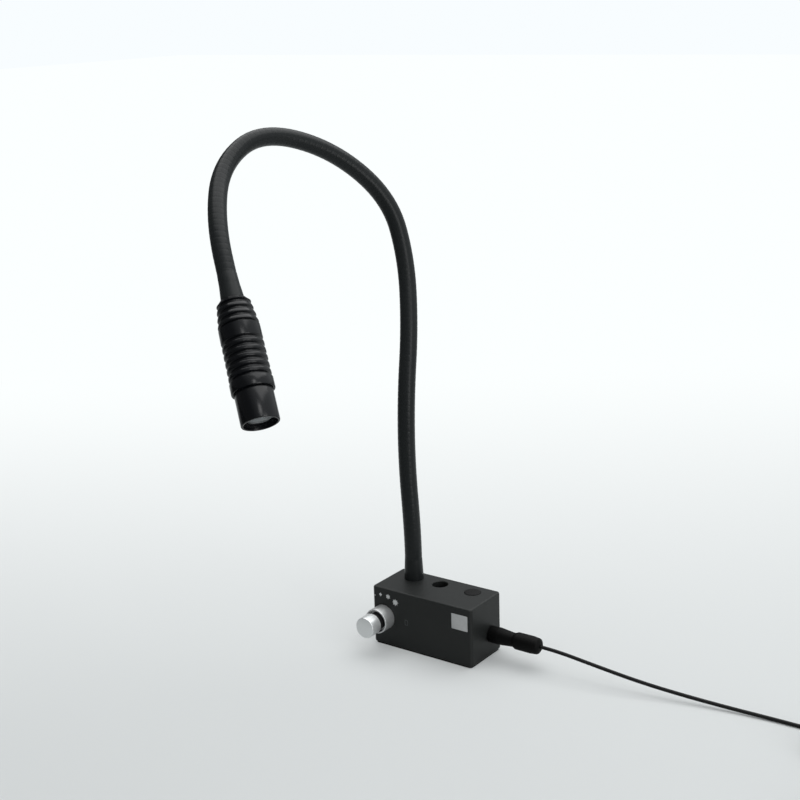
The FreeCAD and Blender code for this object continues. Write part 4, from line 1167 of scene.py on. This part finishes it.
@dataclass
class Lead:
    """The thin power lead: from the plug along the table to its stored coil and connector."""

    diameter: float = 2.0 * MM
    length: float = 1346.0 * MM
    exit: Triple = (63.8 * MM, 4.3 * MM, 13.3 * MM)
    run: tuple[Triple, ...] = (
        (63.8, 4.3, 13.3), (74.0, 4.3, 13.3), (92.0, 4.6, 11.2), (122.0, 8.0, 6.2),
        (156.0, 13.5, 2.3), (193.0, 17.0, 1.0), (230.0, 17.0, 1.0),
    )
    coil_end: Triple = (247.945, -1.9, 8.86)
    tail: tuple[Triple, ...] = (
        (0.0, 0.0, 0.0), (0.3, -13.0, 0.0), (0.6, -24.0, -3.3), (0.6, -33.0, -5.36),
        (0.6, -43.0, -5.36),
    )
    coil_centre: tuple[float, float] = (232.0, 0.1)
    coil_radius: float = 16.6
    coil_pitch: float = 2.62
    turn_room: float = 0.3
    layer_half_turns: int = 8
    half_turns: float = 30.5
    points_per_half_turn: int = 8
    connector: Triple = (248.545 * MM, -44.9 * MM, 3.5 * MM)
    tongue_drop: float = 0.95 * MM

    def route(self) -> list[Triple]:
        """The control points of the whole lead, in millimetres."""
        each = self.points_per_half_turn
        points = list(self.run)
        points += [self.coil_point((i + 0.5) / each) for i in range(int(self.half_turns * each))]
        x, y, z = self.coil_end
        return points + [(x + dx, y + dy, z + dz) for dx, dy, dz in self.tail]

    def coil_point(self, half_turns: float) -> Triple:
        """A control point on the coil.

        Args:
            half_turns: How far round it is, clockwise from the coil's +Y side.

        Returns:
            The point, in millimetres.
        """
        whole = math.floor(half_turns)
        share = half_turns - whole
        near, far = self.coil_ring(whole), self.coil_ring(whole + 1)
        radius = near[0] + (far[0] - near[0]) * share
        height = near[1] + (far[1] - near[1]) * share
        radius /= math.cos(math.pi / (2 * self.points_per_half_turn))
        angle = math.pi / 2.0 - math.pi * half_turns
        x, y = self.coil_centre
        return (x + radius * math.cos(angle), y + radius * math.sin(angle), height)

    def coil_ring(self, stop: int) -> tuple[float, float]:
        """Radius and height of the coil after a whole number of half turns."""
        layer, steps = divmod(stop, self.layer_half_turns)
        inward = layer % 2 == 0
        last = self.layer_half_turns - 1
        travelled = steps if inward else last - steps
        radius = self.coil_radius - travelled * self.coil_pitch / 2.0
        if steps in (0, last):
            radius += self.turn_room if inward == (steps == 0) else -self.turn_room
        return radius, self.diameter / 2.0 / MM + layer * self.coil_pitch

    def build(self, plug: list[bpy.types.Object]) -> None:
        """Args:
            plug: The pieces of the plug.
        """
        points = [tuple(value * MM for value in point) for point in self.route()]
        lead = smooth_line("power_lead", points, 5)
        lead.data.bevel_depth = self.diameter / 2.0
        lead.data.bevel_resolution = 3
        lead.data.use_fill_caps = True
        lead.data.materials.append(LEAD_JACKET.material())
        settle(lead, "lead_jacket", "power_cord", "cord_coil", "cord_tail")
        plug + self.build_connector()

    def build_connector(self) -> list[bpy.types.Object]:
        """The flat connector on the lead's far end.

        Returns:
            Its two pieces.
        """
        grip = rounded_block(15.6 * MM, 7.0 * MM, 0.0, 19.0 * MM, 1.6 * MM, 0.7 * MM)
        tongue = rounded_block(11.2 * MM, 1.8 * MM, 18.5 * MM, 30.4 * MM, 0.3 * MM, 0.2 * MM, 2)
        place = Matrix.Translation(self.connector) @ STANDING
        low = Matrix.Translation((0.0, 0.0, -self.tongue_drop)) @ place
        whole = merged([loft_mesh(grip, place), loft_mesh(tongue, low)])
        body = evened(whole, "far_plug_body", PLUG_PLASTIC)
        settle(body, "case_plastic", "connector_body")
        outer = [(12.0, 4.5, 0.5, height) for height in (19.0, 31.0)]
        inner = [(11.2, 3.7, 0.3, height) for height in (31.0, 19.1)]
        rings = [ring_of(*(size * MM for size in sizes)) for sizes in outer + inner]
        shell = evened(loft_mesh(rings, place), "far_plug_shell", CONTACT_METAL)
        settle(shell, "contact_metal", "connector_shell")
        return [body, shell]


@dataclass
class Neck:
    """The bendable neck: a wound steel core in a black sleeve, with a light guide inside."""

    base: Triple = (-19.0, 6.2, 34.0)
    route: tuple[Triple, ...] = (
        (0.0, 0.0, 0.0), (0.0, 0.0, 28.5), (-5.0, 3.3, 66.5), (-7.0, 7.3, 103.0),
        (-11.0, 18.3, 138.5), (-20.0, 29.8, 174.0), (-30.0, 29.3, 207.5),
        (-48.5, 3.8, 236.0), (-66.5, -32.2, 248.5), (-68.0, -62.7, 234.0),
        (-49.0, -89.7, 209.5), (-28.5, -103.2, 177.0),
    )
    stem: float = 15.2 * MM
    cup: float = 8.0 * MM
    floor: float = 1.0 * MM
    head_reach: float = 16.0 * MM
    sleeve_end: float = 14.0 * MM
    core_end: float = 5.5 * MM
    bodies: tuple[str, ...] = (ROOT, "neck_lower", "neck_upper", "neck_arch", "head")
    parts: tuple[str, ...] = ("base", "lower", "upper", "arch", "head")
    corners: tuple[int, ...] = (1, 4, 7, 10)
    splits: tuple[int, ...] = (2, 5, 8)

    def __post_init__(self) -> None:
        """Works out the control points, in metres, with straight ends in the port and the head."""
        start = Vector(self.base)
        self.points = [(start + Vector(point)) * MM for point in self.route]
        self.aim = (self.points[-1] - self.points[-2]).normalized()
        low = self.points[0] - Vector((0.0, 0.0, self.stem))
        high = self.points[-1] + self.aim * self.head_reach
        self.line = [low] + self.points + [high]

    def middle(self, corner: int) -> Vector:
        """The point halfway between a route point and the next."""
        return (self.points[corner] + self.points[corner + 1]) / 2.0

    def spline(self) -> bpy.types.Object:
        """The neck's centreline as a curve object."""
        return smooth_line("neck_line", self.line, 32)

    def measure(self) -> tuple[float, list[float]]:
        """Measures the centreline.

        Returns:
            Its whole length, and the lengths at which the neck's pieces meet.
        """
        mesh = evaluated(self.spline())
        spots = [vertex.co.copy() for vertex in mesh.vertices]
        lengths = [0.0]
        for near, far in zip(spots, spots[1:]):
            lengths.append(lengths[-1] + (far - near).length)
        meets = []
        for middle in map(self.middle, self.splits):
            nearest = min(range(len(spots)), key=lambda i: (spots[i] - middle).length)
            meets.append(lengths[nearest])
        bpy.data.meshes.remove(mesh)
        return lengths[-1], meets

    def tube_tree(self, hollow: bool) -> bpy.types.NodeTree:
        """The tree that runs a tube along part of a curve, with a groove wound round it.

        Args:
            hollow: Whether the tube has a bore.

        Returns:
            The tree.
        """
        numbers = ("Start", "End", "Step", "Radius", "Wall", "Pitch", "Groove", "Land")
        kinds = dict.fromkeys(numbers, "NodeSocketFloat")
        kinds |= {"Sides": "NodeSocketInt", "Finish": "NodeSocketMaterial"}
        web = GeometryWeb("wound_tube", kinds)
        given = web.given
        inputs = {"Curve": given["Geometry"], "Length": given["Step"]}
        rail = web.signal("GeometryNodeResampleCurve", inputs, mode="LENGTH")
        along = web.signal("GeometryNodeSplineParameter", output="Length")
        marked, far = web.captured(rail, along, "Along")
        inputs = {"Curve": marked, 4: given["Start"], 5: given["End"]}
        part = web.signal("GeometryNodeTrimCurve", inputs, mode="LENGTH")
        inputs = {0: given["Sides"], 4: given["Radius"]}
        circle = web.signal("GeometryNodeCurvePrimitiveCircle", inputs)
        factor = web.signal("GeometryNodeSplineParameter", output="Factor")
        rim, turn = web.captured(circle, factor, "Around")
        inputs = {"Curve": part, "Profile Curve": rim, "Fill Caps": not hollow}
        tube = web.signal("GeometryNodeCurveToMesh", inputs)
        land = Signal(web, given["Land"])
        wave = ((far / given["Pitch"] + turn) * FULL_TURN).wave()
        groove = ((wave - land) / (1.0 - land)).clipped() * given["Groove"]
        inputs = {0: web.signal("GeometryNodeInputNormal"), "Scale": 0.0 - groove}
        push = web.signal("ShaderNodeVectorMath", inputs, operation="SCALE")
        skin = web.signal("GeometryNodeSetPosition", {"Geometry": tube, "Offset": push})
        if hollow:
            inward = 0.0 - Signal(web, given["Wall"])
            inputs = {"Mesh": skin, "Offset Scale": inward, "Individual": False}
            lining = web.signal("GeometryNodeExtrudeMesh", inputs)
            lining = web.signal("GeometryNodeFlipFaces", {0: lining})
            both = web.node("GeometryNodeJoinGeometry")
            for layer in (skin, lining):
                web.tree.links.new(layer.socket, both.inputs[0])
            inputs = {0: both.outputs[0], "Distance": SAME_SPOT}
            skin = web.signal("GeometryNodeMergeByDistance", inputs)
        web.close(skin)
        return web.tree

    def build(self) -> None:
        """Makes the sleeve, the core and the guide, each in a piece for every bend."""
        total, meets = self.measure()
        hollow, solid = self.tube_tree(True), self.tube_tree(False)
        sleeve = {"Radius": 4.8 * MM, "Wall": 0.6 * MM, "Step": 0.25 * MM, "Sides": 40}
        sleeve |= {"Pitch": 3.4 * MM, "Groove": 0.05 * MM, "Land": 0.55}
        core = {"Radius": 3.9 * MM, "Wall": 1.3 * MM, "Step": 0.3 * MM, "Sides": 20}
        core |= {"Pitch": 1.5 * MM, "Groove": 0.14 * MM, "Land": -1.0}
        guide = {"Radius": 2.3 * MM, "Wall": 0.0, "Step": 2.0 * MM, "Sides": 20}
        guide |= {"Pitch": 1.0, "Groove": 0.0, "Land": 0.0}
        cup, floor = self.stem + self.cup, self.stem + self.floor
        skin = "sleeve", hollow, sleeve, SATIN_SLEEVE, "sleeve_black", cup, total - self.sleeve_end
        coil = "core", hollow, core, WOUND_STEEL, "core_steel", floor, total - self.core_end
        rod = "guide", solid, guide, CLEAR_FIBRE, "guide_fibre", 0.0, total
        for layer, tree, sizes, finish, slot, start, end in (skin, coil, rod):
            stops = [start, *meets, end]
            for i, corner in enumerate(self.corners):
                name = f"neck_{layer}_{i + 1}"
                reach = {"Start": stops[i], "End": stops[i + 1]}
                piece = through_tree(self.spline(), tree, name, finish, sizes | reach)
                settle(piece, slot, *self.nodes_of(layer, i), body=None)
                tuple(self.middle(corner - 1))
                tuple(self.middle(corner))
                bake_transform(piece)
        self.build_fittings()

    def nodes_of(self, layer: str, index: int) -> list[str]:
        """The nodes that one piece of a layer stands for."""
        last = index == len(self.corners) - 1
        if layer == "guide":
            reach = index + (2 if last else 1)
            return [f"light_guide_{part}" for part in self.parts[index:reach]]
        nodes = [f"neck_{layer}_{self.parts[index]}", f"neck_bend_{index + 1}_{layer}"]
        return nodes + ([f"neck_{layer}_{self.parts[-1]}"] if last else [])

    def build_fittings(self) -> None:
        """The stem in the port, and the soft boots at both ends."""
        foot, tip = Spindle(self.points[0]), Spindle(self.points[-1], self.aim)
        stem = [(2.3, -15.2), (4.35, -15.2, 0.4), (4.35, 0.0), (4.65, 0.0)]
        stem += [(4.65, 8.0), (3.9, 8.0), (3.9, 1.0), (2.3, 1.0)]
        looks = BLACK_TURNED, "black_metal", "neck_stem"
        foot.fitted(stem, "port_stem", *looks, ring=True)
        lower = [(4.6, 0.0), (5.45, 0.0, 0.1), (5.3, 3.5, 5.0), (4.86, 12.0, 0.02), (4.6, 12.0)]
        looks = SATIN_SLEEVE, "boot_rubber"
        foot.fitted(lower, "base_sleeve_boot", *looks, "base_boot", ring=True)
        upper = [(4.6, -12.0), (4.86, -12.0, 0.03), (5.1, -6.0, 6.0)]
        upper += [(5.8, 1.55, 0.2), (5.8, 2.0), (4.6, 2.0)]
        tip.fitted(upper, "head_sleeve_boot", *looks, "head_boot", "head", ring=True)


@dataclass
class Head:
    """The ribbed head with its sliding front barrel, lens and retaining ring."""

    origin: Vector
    aim: Vector
    rib_pitch: float = 3.8
    groove_depth: float = 1.1
    groove_floor: float = 0.8
    groove_mouth: float = 2.1
    nose: float = 8.45
    shoulder: float = 10.15
    band: float = 10.45
    rear_groove: float = 5.4
    front_groove: float = 25.2
    barrel: str = "focus_barrel"

    def build(self) -> None:
        """Makes the head's four pieces and sets each in place."""
        spindle = Spindle(self.origin, self.aim, 96, 2)
        looks = BLACK_ANODISED, "head_anodised"
        shell = self.shell_outline()
        spindle.fitted(shell, "head_shell", *looks, "head_body", "head", ring=True)
        tube = [(7.2, 37.0), (8.27, 37.0, 0.2), (8.27, 50.0), (9.45, 50.0, 0.2)]
        tube += [(9.45, 66.6, 0.5), (8.25, 66.6, 0.2), (8.25, 61.4), (7.2, 61.4)]
        spindle.fitted(tube, "focus_tube", *looks, "front_barrel", self.barrel, ring=True)
        lens = [(0.0, 61.4), (8.2, 61.4, 0.1), (8.2, 62.8)]
        for angle in map(math.radians, range(0, 90, 9)):
            lens.append((7.3 * math.cos(angle), 62.8 + 2.3 * math.sin(angle)))
        lens.append((0.0, 65.1))
        looks = FROSTED_GLASS, "clear_glass", "front_lens"
        spindle.fitted(lens, "focus_lens", *looks, self.barrel)
        keeper = [(7.5, 62.8), (8.2, 62.8), (8.2, 63.8, 0.1), (7.5, 63.8, 0.1)]
        looks = BLACK_TURNED, "black_metal", "lens_retainer"
        spindle.fitted(keeper, "lens_ring", *looks, self.barrel, ring=True)

    def shell_outline(self) -> Outline:
        """The outline of the ribbed shell, in millimetres from the neck's end."""
        outline = [(3.95, 2.0), (6.4, 2.0, 0.6), (self.nose, 4.5, 0.8)]
        for i in range(4):
            centre = self.rear_groove + self.rib_pitch * i
            rise = (self.shoulder - self.nose) * (centre - 4.5) / 12.1
            outline += self.groove(centre, self.nose + rise)
        outline.append((self.shoulder, 16.6, 1.0))
        for i in range(6):
            centre = self.front_groove + self.rib_pitch * i
            rise = (self.band - self.shoulder) * (centre - 16.6) / 28.4
            outline += self.groove(centre, self.shoulder + rise)
        outline += [(self.band, 45.0), (10.65, 45.0, 0.15), (10.65, 50.4, 0.4), (9.55, 50.4, 0.1)]
        outline += [(9.55, 45.2), (8.35, 45.2), (8.35, 16.0)]
        return outline + [(2.35, 16.0), (2.35, 10.5), (3.95, 10.5)]

    def groove(self, centre: float, radius: float) -> Outline:
        """The corners of one rib groove."""
        floor, mouth = self.groove_floor / 2, self.groove_mouth / 2
        deep = radius - self.groove_depth
        return [
            (radius, centre - mouth, 0.5),
            (deep, centre - floor, 0.15),
            (deep, centre + floor, 0.15),
            (radius, centre + mouth, 0.5),
        ]


@dataclass(frozen=True)
class KeptParts:
    """The model's own parts that stay as they are and get a finish."""

    finishes: tuple[tuple[Finish, tuple[str, ...]], ...] = (
        (PLATED_STEEL, ("base_plate", "ballast_block")),
        (BLACK_STEEL, ("port_screw",)),
        (BOARD_GREEN, ("circuit_board",)),
        (CHIP_BLACK, ("board_components",)),
        (MILLED_ALUMINIUM, ("port_block", "heat_spreader")),
        (LAMP_WHITE, ("lamp_board",)),
        (PHOSPHOR, ("lamp_emitter",)),
        (LENS_GLASS, ("lamp_lens",)),
        (CASE_PLASTIC, ("dimmer", "power_jack")),
        (SHAFT_STEEL, ("dimmer_shaft",)),
        (CONTACT_METAL, ("plug_barrel",)),
    )

    def build(self) -> None:
        """Dresses each part."""
        for finish, names in self.finishes:
            for name in names:
                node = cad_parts[name]
                if not node.material_slots:
                    node.data.materials.append(None)
                for place in node.material_slots:
                    place.material = finish.material()
                log.info("%s: %s", name, finish.name)


@dataclass
class Studio:
    """The pale floor, soft lights and the camera at the photograph's angle."""

    eye: Triple = (0.42302, -0.60372, 0.35174)
    yaw: float = -0.63327
    pitch: float = 0.27693
    roll: float = -0.03312
    lens: float = 65.19
    sensor: float = 36.0
    near: float = 0.01
    far: float = 20.0
    floor_half: float = 6.0
    away: Triple = (-0.592, 0.806, 0.0)
    bright_side: Triple = (0.55, 0.45, 0.70)
    fill: float = 0.32
    target: Triple = (0.0, 0.0, 0.1)
    lamps: tuple[tuple[str, Triple, tuple[float, float], float], ...] = (
        ("overhead", (-0.10, 0.30, 1.20), (1.8, 1.5), 15.6),
        ("side", (1.10, -0.34, 0.42), (0.45, 0.8), 3.4),
        ("glint", (0.75, -0.62, 1.05), (0.34, 0.34), 1.3),
    )

    def build(self) -> None:
        """Makes the camera, the floor, the world and the lights."""
        self.build_camera()
        self.build_floor()
        self.build_world()
        self.build_lights()

    def build_camera(self) -> None:
        """Sets the camera."""
        data = bpy.data.cameras.new("camera")
        data.sensor_width = self.sensor
        data.lens = self.lens
        data.clip_start = self.near
        data.clip_end = self.far
        flat = math.cos(self.pitch)
        forward = (math.sin(self.yaw) * flat, math.cos(self.yaw) * flat, -math.sin(self.pitch))
        turn = Vector(forward).to_track_quat("-Z", "Y") @ Quaternion((0.0, 0.0, 1.0), self.roll)
        camera = placed("camera", data)
        camera.location = self.eye
        camera.rotation_mode = "QUATERNION"
        camera.rotation_quaternion = turn
        bpy.context.scene.camera = camera
        bpy.context.scene.view_settings.view_transform = "Standard"

    def build_floor(self) -> None:
        """A wide pale floor that fades to white far away."""
        half = self.floor_half
        mesh = bpy.data.meshes.new("floor")
        corners = [(-half, -half, 0.0), (half, -half, 0.0), (half, half, 0.0), (-half, half, 0.0)]
        mesh.from_pydata(corners, [], [(0, 1, 2, 3)])
        placed("floor", mesh)
        material = bpy.data.materials.new("pale_floor")
        material.use_nodes = True
        self.shade_floor(ShaderWeb(material.node_tree))
        mesh.materials.append(material)

    def shade_floor(self, web: ShaderWeb) -> None:
        """Pale board, white far off to the camera and dark in front to the gloss.

        Args:
            web: The floor's material.
        """
        path = web.node("ShaderNodeLightPath").outputs
        camera, glossy = Signal(web, path["Is Camera Ray"]), Signal(web, path["Is Glossy Ray"])
        fade = web.eased(web.measured("DOT_PRODUCT", web.place(), self.away), -0.22, 0.60)
        distance = web.measured("LENGTH", web.place())
        fade = fade.larger(((distance - 0.45) / 0.6).clipped())
        lit = web.eased(web.along("Y"), -0.40, 0.15)
        inputs = {"Base Color": (0.66, 0.68, 0.68, 1.0), "Roughness": 0.9}
        inputs["Specular IOR Level"] = 0.1
        pale = web.signal("ShaderNodeBsdfPrincipled", inputs)
        inputs = {"Color": (0.97, 1.0, 1.0, 1.0), "Strength": 1.0}
        white = web.signal("ShaderNodeEmission", inputs)
        dark = web.signal("ShaderNodeBsdfDiffuse", {"Color": (0.06, 0.06, 0.06, 1.0)})
        inputs = {0: glossy * (1.0 - lit), 1: pale, 2: dark}
        ground = web.signal("ShaderNodeMixShader", inputs)
        mixed = web.signal("ShaderNodeMixShader", {0: fade * camera, 1: ground, 2: white})
        web.node("ShaderNodeOutputMaterial", {"Surface": mixed})

    def build_world(self) -> None:
        """A soft grey light all round, white to the camera, gloss and glass."""
        world = bpy.data.worlds.new("studio")
        bpy.context.scene.world = world
        world.use_nodes = True
        web = ShaderWeb(world.node_tree)
        path = web.node("ShaderNodeLightPath").outputs
        rays = ("Is Camera Ray", "Is Glossy Ray", "Is Transmission Ray")
        camera, glossy, through = (Signal(web, path[name]) for name in rays)
        seen = camera.larger(through)
        way = web.node("ShaderNodeTexCoord").outputs["Generated"]
        side = web.measured("DOT_PRODUCT", way, self.bright_side)
        sheen = web.eased(side, -0.1, 0.9, 0.1, 0.8)
        strength = seen + (1.0 - seen) * (glossy * sheen + (1.0 - glossy) * self.fill)
        inputs = {"Color": (0.94, 0.98, 1.0, 1.0), "Strength": strength}
        light = web.signal("ShaderNodeBackground", inputs)
        web.node("ShaderNodeOutputWorld", {"Surface": light})

    def build_lights(self) -> None:
        """A wide softbox above, a strip at the camera's right and a small one for the glints."""
        for name, place, (width, height), power in self.lamps:
            data = bpy.data.lights.new(name, "AREA")
            data.shape = "RECTANGLE"
            data.size = width
            data.size_y = height
            data.energy = power
            aim = Vector(self.target) - Vector(place)
            lamp = placed(name, data)
            lamp.location = place
            lamp.rotation_euler = aim.to_track_quat("-Z", "Y").to_euler()


def main() -> None:
    """Builds the illuminator and its studio."""
    logging.basicConfig(level=logging.INFO, format="%(name)s: %(message)s")
    Studio().build()
    Lead().build(Plug().build())
    LightBox().build()
    Dial().build()
    neck = Neck()
    neck.build()
    Head(neck.points[-1], neck.aim).build()
    KeptParts().build()


if __name__ == "__main__":
    main()
